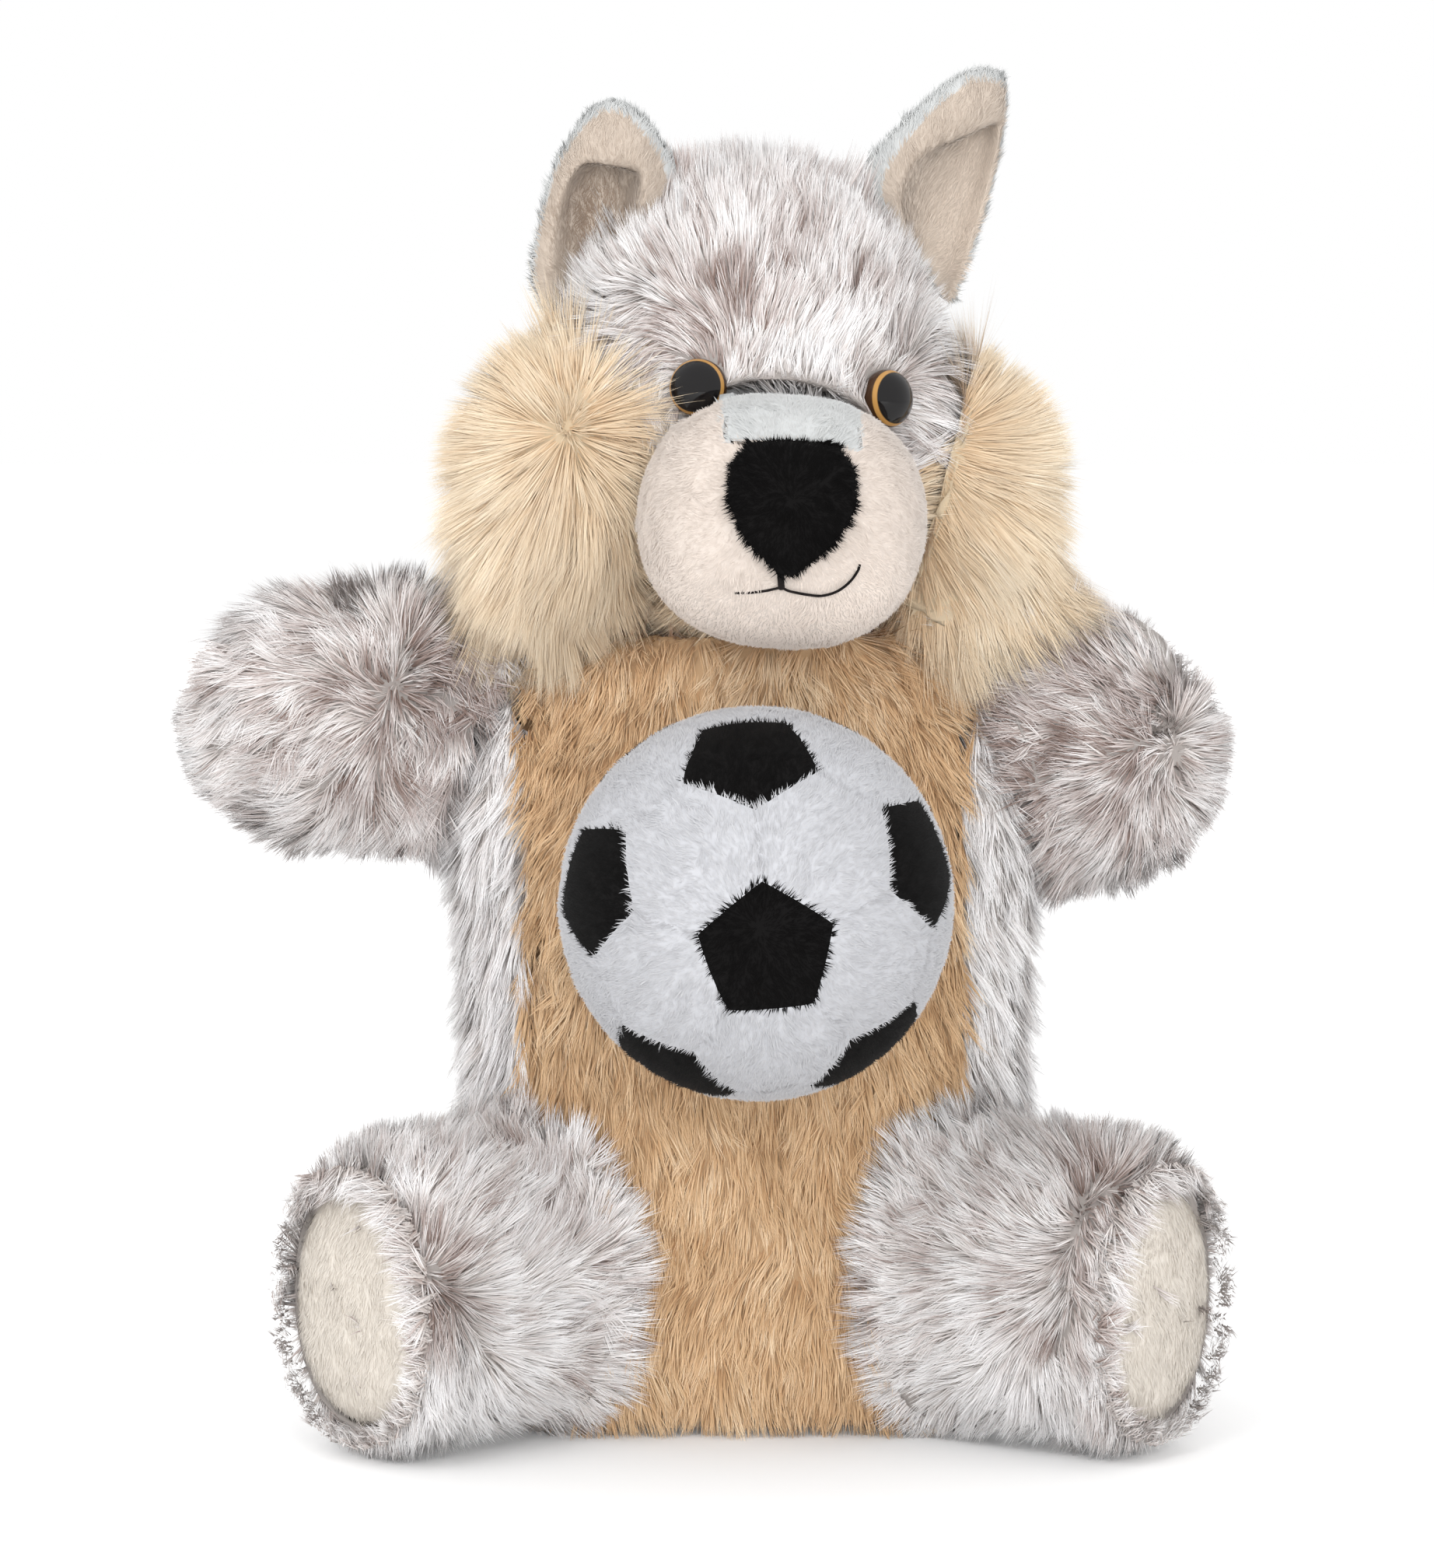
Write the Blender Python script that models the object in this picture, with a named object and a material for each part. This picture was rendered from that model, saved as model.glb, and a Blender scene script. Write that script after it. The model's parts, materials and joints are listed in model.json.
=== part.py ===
# Plush wolf hand puppet that sits on its hem and feet, with a stuffed football sewn to its chest.
# Metres, +Z up, the face looks towards -Y, and +X is the viewer's right.
# A furry piece is drawn out to the middle of its pile, so its wall is backing cloth plus pile.
import math

import bmesh
import bpy
from mathutils import Matrix, Vector

MM = 0.001

# Fits
seam = 0.3 * MM  # free gap where two pieces are sewn or pressed together

# Glove body: an oval tube, open at the hem and closed in to the neck
body_half_width = 57 * MM
body_half_depth = 38 * MM
hem_half_width = 52 * MM
hem_half_depth = 34.5 * MM
hem_height = 24 * MM  # where the wall has rounded out to the full width
shoulder_height = 112 * MM
neck_height = 151 * MM
neck_radius = 25 * MM
body_wall = 8 * MM
body_squareness = 2.5
neck_hole_radius = 16 * MM
lining_thickness = 1 * MM
lining_rise = 1 * MM  # how far the lining's edge stays above the hem

# Belly panel: the tan front of the glove
panel_half_width = 43 * MM
panel_hem_half_width = 38 * MM
panel_straight_height = 45 * MM

# Arms: mitts with a pocket for a thumb or finger
arm_height = {"left": 132 * MM, "right": 127 * MM}
arm_depth_offset = 0 * MM
arm_reach = {"left": 50.5 * MM, "right": 39.5 * MM}  # beyond the side of the body
arm_droop = {"left": 2, "right": 20}  # degrees below level
arm_forward = {"left": 9, "right": 8}  # degrees towards the viewer
arm_root = (18 * MM, 23 * MM)  # half depth, half height
arm_full = (22 * MM, 28.5 * MM)
arm_round = 30 * MM  # length of the rounded paw
arm_tip_share = 0.26  # how much of its half height a drooping paw adds to its reach
arm_wall = 7.5 * MM
arm_pocket_end = 12 * MM  # from the pocket's end to the paw's tip

# Legs: stuffed, lying on the floor with the soles outwards
leg_out = {"left": 48, "right": 54}  # degrees outwards from straight ahead
hip_spread = {"left": 38 * MM, "right": 40 * MM}
hip_height = 30.5 * MM
hip_inset = 14 * MM  # behind the front of the body
leg_length = 44 * MM
leg_root = (22 * MM, 32.5 * MM)  # half width, half height
leg_full = (24.5 * MM, 31 * MM)
leg_round = 9 * MM
leg_end_squeeze = 3 * MM  # how much smaller the leg's end is all round
leg_wall = 6.5 * MM
sole_thickness = 3 * MM
sole_bulge = 3.5 * MM
sole_recess = 1 * MM  # how far the sole's edge sits inside the leg's end
sole_rim = (2.5 * MM, 5.5 * MM)  # the leg's wall beside the sole, and above and below it
sole_drop = 2 * MM

# Head
head_half_width = 40 * MM
head_half_depth = 40 * MM
head_half_height = 49 * MM
head_sink = 11.5 * MM  # how far the head sits down into the neck
head_wall = 8 * MM
head_side = 0.5 * MM  # towards the viewer's right
head_turn = 14.5  # degrees, the same way
head_roll = 4  # degrees, right side down
finger_radius = 11 * MM
finger_depth = 46 * MM
sleeve_thickness = 0.8 * MM

# Muzzle
muzzle_half_width = 27.5 * MM
muzzle_half_depth = 27 * MM
muzzle_half_height = 24 * MM
muzzle_side = 5.5 * MM  # towards the viewer's right
muzzle_turn = 2.5  # degrees, the same way
muzzle_drop = 18 * MM  # below the middle of the head
muzzle_forward = 45 * MM
muzzle_wall = 3 * MM
muzzle_squareness = 2.25
bridge_half_width = 12.5 * MM
bridge_front_height = 15 * MM  # above the middle of the muzzle
nose_half_width = 12 * MM
nose_half_height = 12.4 * MM
nose_lift = 4 * MM  # above the middle of the muzzle
nose_thickness = 2.6 * MM
thread_radius = 0.45 * MM

# Eyes
eye_radius = 5.3 * MM
eye_dome = 4.2 * MM
eye_edge = 0.9 * MM
eye_stem_radius = 1.6 * MM
eye_stem_length = 11 * MM
eye_yaw = 29  # degrees either side of the face's middle
eye_pitch = 7.5  # degrees above the middle of the head
eye_sink = 4 * MM  # how far the eye's flat back lies below the pile
washer_radius = 4.8 * MM
washer_thickness = 1.2 * MM
washer_depth = 9.6 * MM  # below the pile

# Cheeks: the long pile at the sides of the face
cheek_half_width = 20.5 * MM
cheek_half_depth = 21 * MM
cheek_half_height = 31 * MM
cheek_spread = 41 * MM
cheek_forward = 13 * MM
cheek_drop = 17.5 * MM

# Ears
ear_length = {"left": 36 * MM, "right": 46 * MM}
ear_half_width = {"left": 15 * MM, "right": 17 * MM}
ear_layer = 1.5 * MM
ear_cup = 68  # degrees either side
ear_spread = {"left": 27 * MM, "right": 24.5 * MM}
ear_base_height = 25 * MM  # above the middle of the head
ear_back_offset = 1 * MM
ear_turn = {"left": -6, "right": 32}  # degrees, the way the cup opens
ear_lean = {"left": -6, "right": 18}  # degrees, positive is towards the viewer's right
ear_fold = {"left": 0.36, "right": 0.16}  # forward bend, as a share of the length

# Football
ball_radius = 36.1 * MM
ball_height = 104 * MM
ball_offset = 2 * MM  # towards the viewer's right
ball_sink = 5 * MM  # into the belly's pile
pentagon_share = 0.352  # of the distance between two pentagons' middles
ball_wall = 2.2 * MM
ball_down = 7.5  # degrees, the middle pentagon's aim below level
ball_side = 3  # degrees, its aim to the viewer's right
ball_roll = 4.5  # degrees, anticlockwise

SIDES = {"left": -1, "right": 1}
SOLE_DOWN = -1  # the leg frame's Y points up
REACH = 0.4  # metres, longer than the puppet, for cutters

# Facets round each kind of form
BODY_COUNT = 24
HEAD_COUNT = 24
INNER_COUNT = 16
LIMB_COUNT = 20
ROUND_COUNT = 16


def clear_scene():
    for found in list(bpy.data.objects):
        bpy.data.objects.remove(found, do_unlink=True)


def make_material(name, colour, roughness, metallic=0.0):
    material = bpy.data.materials.new(name)
    material.use_nodes = True
    shader = material.node_tree.nodes["Principled BSDF"]
    shader.inputs["Base Color"].default_value = (*colour, 1)
    shader.inputs["Roughness"].default_value = roughness
    shader.inputs["Metallic"].default_value = metallic
    return material


def make_object(name, bm, parent, material=None):
    """Links a mesh as a piece, or as a hidden cutter where no material is given."""
    bmesh.ops.recalc_face_normals(bm, faces=bm.faces)
    mesh = bpy.data.meshes.new(name)
    bm.to_mesh(mesh)
    bm.free()
    made = bpy.data.objects.new(name, mesh)
    bpy.context.scene.collection.objects.link(made)
    made.parent = parent
    if material:
        mesh.materials.append(material)
        mesh.shade_smooth()
        mesh.set_sharp_from_angle(angle=math.radians(50))
    else:
        made.hide_render = True
        made.display_type = "WIRE"
    return made


def make_frame(name, parent, place, turn=None):
    """An empty that carries pieces: place and turn are in its parent's frame."""
    frame = bpy.data.objects.new(name, None)
    bpy.context.scene.collection.objects.link(frame)
    frame.parent = parent
    frame.location = place
    frame.rotation_mode = "QUATERNION"
    if turn:
        frame.rotation_quaternion = turn
    return frame


def combine(piece, other, operation):
    modifier = piece.modifiers.new(f"{operation.lower()}_{other.name}", "BOOLEAN")
    modifier.operation = operation
    modifier.object = other
    modifier.solver = "EXACT"


def cut(piece, *cutters):
    for cutter in cutters:
        combine(piece, cutter, "DIFFERENCE")


def keep_inside(piece, other):
    combine(piece, other, "INTERSECT")


# Forms

def oval(half_a, half_b, count, squareness=2.0):
    """Points of a superellipse as (a, b) pairs, squarer as squareness rises above 2."""
    points = []
    for i in range(count):
        angle = 2 * math.pi * i / count
        a, b = math.cos(angle), math.sin(angle)
        points.append(
            (
                half_a * math.copysign(abs(a) ** (2 / squareness), a),
                half_b * math.copysign(abs(b) ** (2 / squareness), b),
            )
        )
    return points


def loft(rings):
    """A closed mesh through rings of equally many points, with both ends capped."""
    bm = bmesh.new()
    loops = [[bm.verts.new(point) for point in ring] for ring in rings]
    for low, high in zip(loops, loops[1:]):
        for i in range(len(low)):
            j = (i + 1) % len(low)
            bm.faces.new((low[i], low[j], high[j], high[i]))
    bm.faces.new(list(reversed(loops[0])))
    bm.faces.new(loops[-1])
    return bm


def round_form(half_sizes, count, squareness=2.0):
    """A closed ball stretched to its half sizes, squarer as squareness rises."""
    bm = bmesh.new()
    bmesh.ops.create_uvsphere(bm, u_segments=count, v_segments=count // 2, radius=1)
    for vert in bm.verts:
        for axis in range(3):
            share = vert.co[axis]
            vert.co[axis] = math.copysign(abs(share) ** (2 / squareness), share)
        vert.co = Vector(a * b for a, b in zip(vert.co, half_sizes))
    return bm


def turned(profile, count):
    """Turns a profile of (radius, height) points about Z. It is closed where it meets the axis."""
    bm = bmesh.new()
    verts = [bm.verts.new((radius, 0, height)) for radius, height in profile]
    edges = [bm.edges.new(pair) for pair in zip(verts, verts[1:])]
    if profile[0][0] > 0:
        edges.append(bm.edges.new((verts[-1], verts[0])))
    bmesh.ops.spin(
        bm, geom=verts + edges, axis=(0, 0, 1), cent=(0, 0, 0), angle=2 * math.pi, steps=count
    )
    bmesh.ops.remove_doubles(bm, verts=bm.verts, dist=0.01 * MM)
    return bm


def prism(outline, front, back):
    """An (x, z) outline carried along Y from front to back."""
    bm = bmesh.new()
    face = bm.faces.new([bm.verts.new((x, front, z)) for x, z in outline])
    bmesh.ops.recalc_face_normals(bm, faces=[face])
    carried = bmesh.ops.extrude_face_region(bm, geom=[face])["geom"]
    moved = [part for part in carried if isinstance(part, bmesh.types.BMVert)]
    bmesh.ops.translate(bm, verts=moved, vec=(0, back - front, 0))
    return bm


def dome_steps(count, reach=0.97):
    """(across, along) shares of a quarter round from its full width to nearly its tip."""
    angles = [math.pi / 2 * reach * i / count for i in range(1, count + 1)]
    return [(math.cos(angle), math.sin(angle)) for angle in angles]


# Body

def body_form(grow, count, bottom=0.0):
    """The glove's form, moved outwards by grow. Bottom is the height that its open end reaches."""
    stations = [(bottom, 0.0)] + [(hem_height * share, share) for share in (0.4, 1.0)]
    if bottom < 0:
        stations.insert(1, (0.0, 0.0))
    rings = []
    for height, share in stations:
        bulge = math.sin(math.pi / 2 * share)
        half_width = hem_half_width + (body_half_width - hem_half_width) * bulge + grow
        half_depth = hem_half_depth + (body_half_depth - hem_half_depth) * bulge + grow
        rings.append((height, half_width, half_depth, body_squareness))
    rings.append((shoulder_height, body_half_width + grow, body_half_depth + grow, body_squareness))
    rise = neck_height - shoulder_height + grow
    for across, along in dome_steps(4, reach=1.0):
        rings.append(
            (
                shoulder_height + rise * along,
                neck_radius + (body_half_width - neck_radius) * across + grow,
                neck_radius + (body_half_depth - neck_radius) * across + grow,
                body_squareness + (2 - body_squareness) * along,
            )
        )
    return loft(
        [
            [(a, b, height) for a, b in oval(half_width, half_depth, count, squareness)]
            for height, half_width, half_depth, squareness in rings
        ]
    )


def panel_prism(grow):
    """The belly panel's outline as seen from the front, from below the hem to above the neck."""
    side = panel_half_width + grow
    hem_side = panel_hem_half_width + grow
    top = neck_height + body_wall
    outline = [(hem_side, -body_wall), (hem_side, 0), (side, panel_straight_height), (side, top)]
    mirrored = [(-x, z) for x, z in reversed(outline)]
    return prism(outline + mirrored, -REACH, -body_half_depth / 5)


def build_body(root, cloth, cuts):
    fur, belly_fur, lining_cloth = cloth["grey_fur"], cloth["tan_fur"], cloth["lining"]
    hollow = make_object("cut_body_hollow", body_form(-body_wall, INNER_COUNT, -body_wall), root)
    neck_hole = turned(
        [(0, neck_height + body_wall), (neck_hole_radius, neck_height + body_wall),
         (neck_hole_radius, shoulder_height), (0, shoulder_height)],
        ROUND_COUNT,
    )
    neck_cut = make_object("cut_neck_hole", neck_hole, root)
    panel_hole = make_object("cut_panel_hole", panel_prism(0), root)
    panel_edge = make_object("cut_panel_edge", panel_prism(-seam), root)

    back = make_object("body_back", body_form(0, BODY_COUNT), root, fur)
    cut(back, hollow, neck_cut, panel_hole, cuts["head"], cuts["muzzle"])
    cut(back, cuts["pocket_left"], cuts["pocket_right"], cuts["ball"])

    panel = make_object("belly_panel", body_form(0, BODY_COUNT), root, belly_fur)
    keep_inside(panel, panel_edge)
    cut(panel, hollow, neck_cut, cuts["head"], cuts["muzzle"], cuts["ball"])

    lining_outside = -body_wall - seam
    lining_inside = lining_outside - lining_thickness
    lining = make_object(
        "glove_lining", body_form(lining_outside, INNER_COUNT, lining_rise), root, lining_cloth
    )
    lining_hollow = make_object(
        "cut_lining_hollow", body_form(lining_inside, INNER_COUNT, -body_wall), root
    )
    cut(lining, lining_hollow, neck_cut, cuts["head"], cuts["pocket_left"], cuts["pocket_right"])


# Arms

def limb_form(root_size, full_size, start, length, round_length, grow, count, steps=4):
    """A limb along +Z. It widens from its root to its full size, then rounds in to its tip."""
    straight = length - round_length
    rings = []
    for i in range(4):
        share = i / 3
        swell = math.sin(math.pi / 2 * share)
        sizes = [r + (f - r) * swell + grow for r, f in zip(root_size, full_size)]
        rings.append((start + (straight - start) * share, sizes))
    tip = round_length + grow
    for across, along in dome_steps(steps):
        sizes = [(f + grow) * across**0.8 for f in full_size]
        rings.append((straight + tip * along, sizes))
    return loft([[(a, b, z) for a, b in oval(*sizes, count, 2.2)] for z, sizes in rings])


def arm_length(side):
    return body_half_width + arm_reach[side]


def arm_frame(root, side):
    droop, forward = math.radians(arm_droop[side]), math.radians(arm_forward[side])
    aim = Vector(
        (
            SIDES[side] * math.cos(droop) * math.cos(forward),
            -math.cos(droop) * math.sin(forward),
            -math.sin(droop),
        )
    )
    # The arm's line crosses the body's side at arm_height
    start_height = arm_height[side] + body_half_width * math.tan(droop)
    place = (0, arm_depth_offset + body_half_width * math.tan(forward), start_height)
    return make_frame(f"arm_frame_{side}", root, place, aim.to_track_quat("Z", "Y"))


def arm_form(side, grow, count):
    start = body_half_width / 2
    return limb_form(arm_root, arm_full, start, arm_length(side), arm_round, grow, count)


def pocket_form(side, grow, count):
    """The finger pocket, from inside the glove's hollow to near the paw's tip."""
    start = (body_half_width - arm_wall) / 2
    length = arm_length(side) - arm_pocket_end
    return limb_form(arm_root, arm_full, start, length, arm_round / 2, grow - arm_wall, count, 3)


def build_arm(frame, side, cloth, cuts):
    arm = make_object(f"arm_{side}", arm_form(side, 0, LIMB_COUNT), frame, cloth["grey_fur"])
    cut(arm, cuts[f"pocket_{side}"], cuts["body"], cuts["head"])


# Legs

def leg_frame(root, side):
    out = math.radians(leg_out[side])
    aim = Vector((SIDES[side] * math.sin(out), -math.cos(out), 0))
    place = (SIDES[side] * hip_spread[side], -(body_half_depth - hip_inset), hip_height)
    return make_frame(f"leg_frame_{side}", root, place, aim.to_track_quat("Z", "Y"))


def leg_form(grow, count, length=None):
    """A leg along +Z. Past the sole its form runs on straight where a length is given."""
    begin = -hip_inset - grow
    rounded = [(leg_length - leg_round * 0.45, 0.25), (leg_length, 1.0)]
    rings = []
    for i in range(4):
        share = i / 3
        swell = math.sin(math.pi / 2 * share)
        sizes = [r + (f - r) * swell + grow for r, f in zip(leg_root, leg_full)]
        rings.append((begin + (leg_length - leg_round - begin) * share, sizes))
    for z, pull in rounded:
        squeeze = leg_end_squeeze * pull
        rings.append((z, [f - squeeze + grow for f in leg_full]))
    if length is not None:
        rings[-1] = (length, rings[-1][1])
    return loft([[(a, b, z) for a, b in oval(*sizes, count, 2.2)] for z, sizes in rings])


def sole_half(grow):
    spare = leg_end_squeeze + seam - grow
    return [full - rim - spare for full, rim in zip(leg_full, sole_rim)]


def sole_seat_form():
    """The step in the leg's end that the sole lies in."""
    rings = [leg_length - sole_recess - sole_thickness - seam, leg_length + leg_wall]
    sizes = sole_half(seam)
    outline = oval(*sizes, ROUND_COUNT, 2.2)
    return loft([[(a, b + sole_drop * SOLE_DOWN, z) for a, b in outline] for z in rings])


def sole_form():
    """The sole: an oval plate with a domed outside, its flat back inside the leg's end."""
    half = sole_half(0)
    edge = leg_length - sole_recess
    rings = [(edge - sole_thickness, half), (edge, half)]
    for across, along in dome_steps(3, reach=0.9):
        rings.append((edge + sole_bulge * along, [h * across for h in half]))
    outlines = [(z, oval(*sizes, ROUND_COUNT, 2.2)) for z, sizes in rings]
    return loft([[(a, b + sole_drop * SOLE_DOWN, z) for a, b in points] for z, points in outlines])


def build_leg(root, side, cloth, cuts):
    frame = leg_frame(root, side)
    leg = make_object(f"leg_{side}", leg_form(0, LIMB_COUNT), frame, cloth["grey_fur"])
    hollow = leg_form(-leg_wall, ROUND_COUNT, length=leg_length + leg_wall)
    seat = make_object(f"cut_sole_seat_{side}", sole_seat_form(), frame)
    cut(leg, make_object(f"cut_leg_hollow_{side}", hollow, frame), seat)
    cut(leg, cuts["body"], cuts["floor"])

    stuffing_end = leg_length - sole_recess - sole_thickness - 2 * seam
    fill = leg_form(-leg_wall - seam, ROUND_COUNT, length=stuffing_end)
    stuffing = make_object(f"leg_stuffing_{side}", fill, frame, cloth["stuffing"])
    cut(stuffing, cuts["body"], cuts["floor"])
    make_object(f"sole_{side}", sole_form(), frame, cloth["beige_plush"])


# Head

def head_form(grow, count):
    half = (head_half_width + grow, head_half_depth + grow, head_half_height + grow)
    return round_form(half, count, 2.1)


def muzzle_form(grow, count):
    half = (muzzle_half_width + grow, muzzle_half_depth + grow, muzzle_half_height + grow)
    bm = round_form(half, count, muzzle_squareness)
    bmesh.ops.translate(bm, verts=bm.verts, vec=(0, -muzzle_forward, -muzzle_drop))
    return bm


def muzzle_surface(x, z, grow):
    """The y of the muzzle's front at x and z, both from its middle."""
    across = (abs(x) / (muzzle_half_width + grow)) ** muzzle_squareness
    up = (abs(z) / (muzzle_half_height + grow)) ** muzzle_squareness
    depth = max(0.0, 1 - across - up) ** (1 / muzzle_squareness)
    return -muzzle_forward - (muzzle_half_depth + grow) * depth


def cheek_form(side):
    bm = round_form((cheek_half_width, cheek_half_depth, cheek_half_height), LIMB_COUNT, 2.2)
    place = (SIDES[side] * cheek_spread, -cheek_forward, -cheek_drop)
    bmesh.ops.translate(bm, verts=bm.verts, vec=place)
    return bm


def eye_frame(head, side):
    """A frame on the pile's surface, its +Z pointing out of the face."""
    yaw, pitch = math.radians(eye_yaw), math.radians(eye_pitch)
    aim = Vector(
        (
            SIDES[side] * math.sin(yaw) * math.cos(pitch),
            -math.cos(yaw) * math.cos(pitch),
            math.sin(pitch),
        )
    )
    halves = (head_half_width, head_half_depth, head_half_height)
    reach = sum((a / half) ** 2 for a, half in zip(aim, halves)) ** -0.5
    return make_frame(f"eye_frame_{side}", head, aim * reach, aim.to_track_quat("Z", "Y"))


def eye_form(grow):
    """A safety eye: domed front, thin edge and a stem through the cloth."""
    base = -eye_sink - grow
    radius = eye_radius + grow
    stem = eye_stem_radius + grow
    profile = [(0, base - eye_stem_length), (stem, base - eye_stem_length), (stem, base)]
    profile += [(radius, base), (radius, base + eye_edge + grow)]
    for across, along in dome_steps(4, reach=0.85):
        profile.append((radius * across, base + eye_edge + grow + eye_dome * along))
    profile.append((0, base + eye_edge + grow + eye_dome))
    return turned(profile, ROUND_COUNT)


def eye_seat_form():
    """The hole for an eye: as wide as its edge all the way out through the pile."""
    base = -eye_sink - seam
    radius = eye_radius + seam
    stem = eye_stem_radius + seam
    profile = [(0, base - eye_stem_length - seam), (stem, base - eye_stem_length - seam)]
    profile += [(stem, base), (radius, base), (radius, head_wall), (0, head_wall)]
    return turned(profile, ROUND_COUNT)


def washer_form(grow):
    inside = eye_stem_radius + seam - grow
    low, high = -washer_depth - washer_thickness - grow, -washer_depth + grow
    outside = washer_radius + grow
    profile = [(inside, low), (outside, low), (outside, high), (inside, high)]
    return turned(profile, ROUND_COUNT)


def build_eye(head, side, cloth):
    """Makes an eye and its washer, and returns the cutters for the holes that they need."""
    frame = eye_frame(head, side)
    make_object(f"eye_{side}", eye_form(0), frame, cloth["eye"])
    make_object(f"eye_washer_{side}", washer_form(0), frame, cloth["washer"])
    seat = make_object(f"cut_eye_seat_{side}", eye_seat_form(), frame)
    washer_seat = make_object(f"cut_washer_seat_{side}", washer_form(seam), frame)
    return seat, washer_seat


def ear_sheet(side, offset):
    """The cupped ear as one layer of faces, opening towards -Y. Offset moves it outwards."""
    rows, columns = 6, 6
    length, fold = ear_length[side], ear_fold[side]
    cup = math.radians(ear_cup)
    bm = bmesh.new()
    grid = []
    for row in range(rows + 1):
        share = 0.96 * row / rows
        half_width = ear_half_width[side] * (1 - share**2.4) ** 0.55
        radius = half_width / math.sin(cup) * (0.8 + 0.2 * share)
        lean = fold * share**2.5 * length
        line = []
        for column in range(columns + 1):
            angle = cup * (2 * column / columns - 1)
            x = (radius + offset) * math.sin(angle)
            y = (radius + offset) * math.cos(angle) - radius * math.cos(cup) - lean
            z = length * (share - 0.35 * fold * share**2.5)
            line.append(bm.verts.new((x, y, z)))
        grid.append(line)
    for low, high in zip(grid, grid[1:]):
        for i in range(columns):
            bm.faces.new((low[i + 1], low[i], high[i], high[i + 1]))
    return bm


def build_ear(head, side, cloth, cuts):
    place = (SIDES[side] * ear_spread[side], ear_back_offset, ear_base_height)
    lean = Matrix.Rotation(math.radians(ear_lean[side]), 3, "Y")
    turn = Matrix.Rotation(math.radians(ear_turn[side]), 3, "Z")
    frame = make_frame(f"ear_frame_{side}", head, place, (lean @ turn).to_quaternion())
    layers = (("ear_back", seam / 2, 1, "blue_plush"), ("ear_lining", -seam / 2, -1, "beige_plush"))
    for name, offset, outwards, finish in layers:
        sheet = ear_sheet(side, offset)
        mesh = bpy.data.meshes.new(f"{name}_{side}")
        sheet.to_mesh(mesh)
        sheet.free()
        mesh.materials.append(cloth[finish])
        layer = bpy.data.objects.new(f"{name}_{side}", mesh)
        bpy.context.scene.collection.objects.link(layer)
        layer.parent = frame
        solid = layer.modifiers.new("thickness", "SOLIDIFY")
        solid.thickness = ear_layer
        solid.offset = outwards
        cut(layer, cuts["head"])


def nose_prism(grow):
    """The nose as seen from the front: broad above, narrowing to the lip."""
    side = [(0.0, 1.0), (0.7, 0.93), (0.97, 0.6), (1.0, 0.05), (0.7, -0.5), (0.12, -1.0)]
    across, up = nose_half_width + grow, nose_half_height + grow
    middle = nose_lift - muzzle_drop
    outline = [(x * across, middle + z * up) for x, z in side]
    outline += [(-x * across, middle + z * up) for x, z in reversed(side[1:])]
    return prism(outline, -REACH, -muzzle_forward - muzzle_half_depth / 3)


def thread_on_muzzle(name, head, points, cloth):
    """A stitch that lies on the muzzle through (x, z) points from its middle."""
    lift = thread_radius + seam / 2
    smooth = []
    for (xa, za), (xb, zb) in zip(points, points[1:]):
        for step in range(3):
            share = step / 3
            smooth.append((xa + (xb - xa) * share, za + (zb - za) * share))
    smooth.append(points[-1])
    curve = bpy.data.curves.new(name, "CURVE")
    curve.dimensions = "3D"
    curve.bevel_depth = thread_radius
    curve.bevel_resolution = 1
    curve.use_fill_caps = True
    spline = curve.splines.new("POLY")
    spline.points.add(len(smooth) - 1)
    for point, (x, z) in zip(spline.points, smooth):
        point.co = (x, muzzle_surface(x, z, lift), z - muzzle_drop, 1)
    curve.materials.append(cloth["thread"])
    thread = bpy.data.objects.new(name, curve)
    bpy.context.scene.collection.objects.link(thread)
    thread.parent = head


def build_muzzle(muzzle, cloth, cuts):
    # The strip on top of the muzzle runs from the nose back to the brow
    strip = []
    for grow in (0, -seam):
        side = bridge_half_width + grow
        low = bridge_front_height - muzzle_drop - grow
        high = low + muzzle_half_height
        outline = [(side, low), (side, high), (-side, high), (-side, low)]
        strip.append(prism(outline, -REACH, 0))
    eye_seats = [cuts[f"eye_seat_{side}"] for side in SIDES]
    strip_hole = make_object("cut_bridge_hole", strip[0], muzzle)
    strip_edge = make_object("cut_bridge_edge", strip[1], muzzle)
    hollow = make_object("cut_muzzle_hollow", muzzle_form(-muzzle_wall, INNER_COUNT), muzzle)

    cover = make_object("muzzle", muzzle_form(0, LIMB_COUNT), muzzle, cloth["beige_plush"])
    cut(cover, hollow, strip_hole, cuts["head_hollow"], *eye_seats)
    bridge = make_object("muzzle_bridge", muzzle_form(0, LIMB_COUNT), muzzle, cloth["blue_plush"])
    keep_inside(bridge, strip_edge)
    cut(bridge, hollow, cuts["head_hollow"], *eye_seats)

    fill = muzzle_form(-muzzle_wall - seam, INNER_COUNT)
    stuffing = make_object("muzzle_stuffing", fill, muzzle, cloth["stuffing"])
    cut(stuffing, cuts["head_hollow"], *eye_seats)

    nose = make_object("nose", muzzle_form(nose_thickness, LIMB_COUNT), muzzle, cloth["black_plush"])
    keep_inside(nose, make_object("cut_nose_edge", nose_prism(0), muzzle))
    cut(nose, cuts["muzzle"])

    lip = nose_lift - nose_half_height - seam - thread_radius
    drop = 1.3 * MM
    smile = [(-12, 2.8), (-9.4, 0.6), (-6, -0.5), (-2.8, -0.5), (0, 0), (2.8, -0.6), (6, -0.8),
             (9.4, 0), (12.2, 2.1), (14, 5)]
    low = lip - drop - 2 * thread_radius
    smile_line = [(x * MM, low + z * MM) for x, z in smile]
    thread_on_muzzle("lip_stitch", muzzle, [(0, lip), (0, lip - drop + seam)], cloth)
    thread_on_muzzle("mouth_stitch", muzzle, smile_line, cloth)


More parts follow.
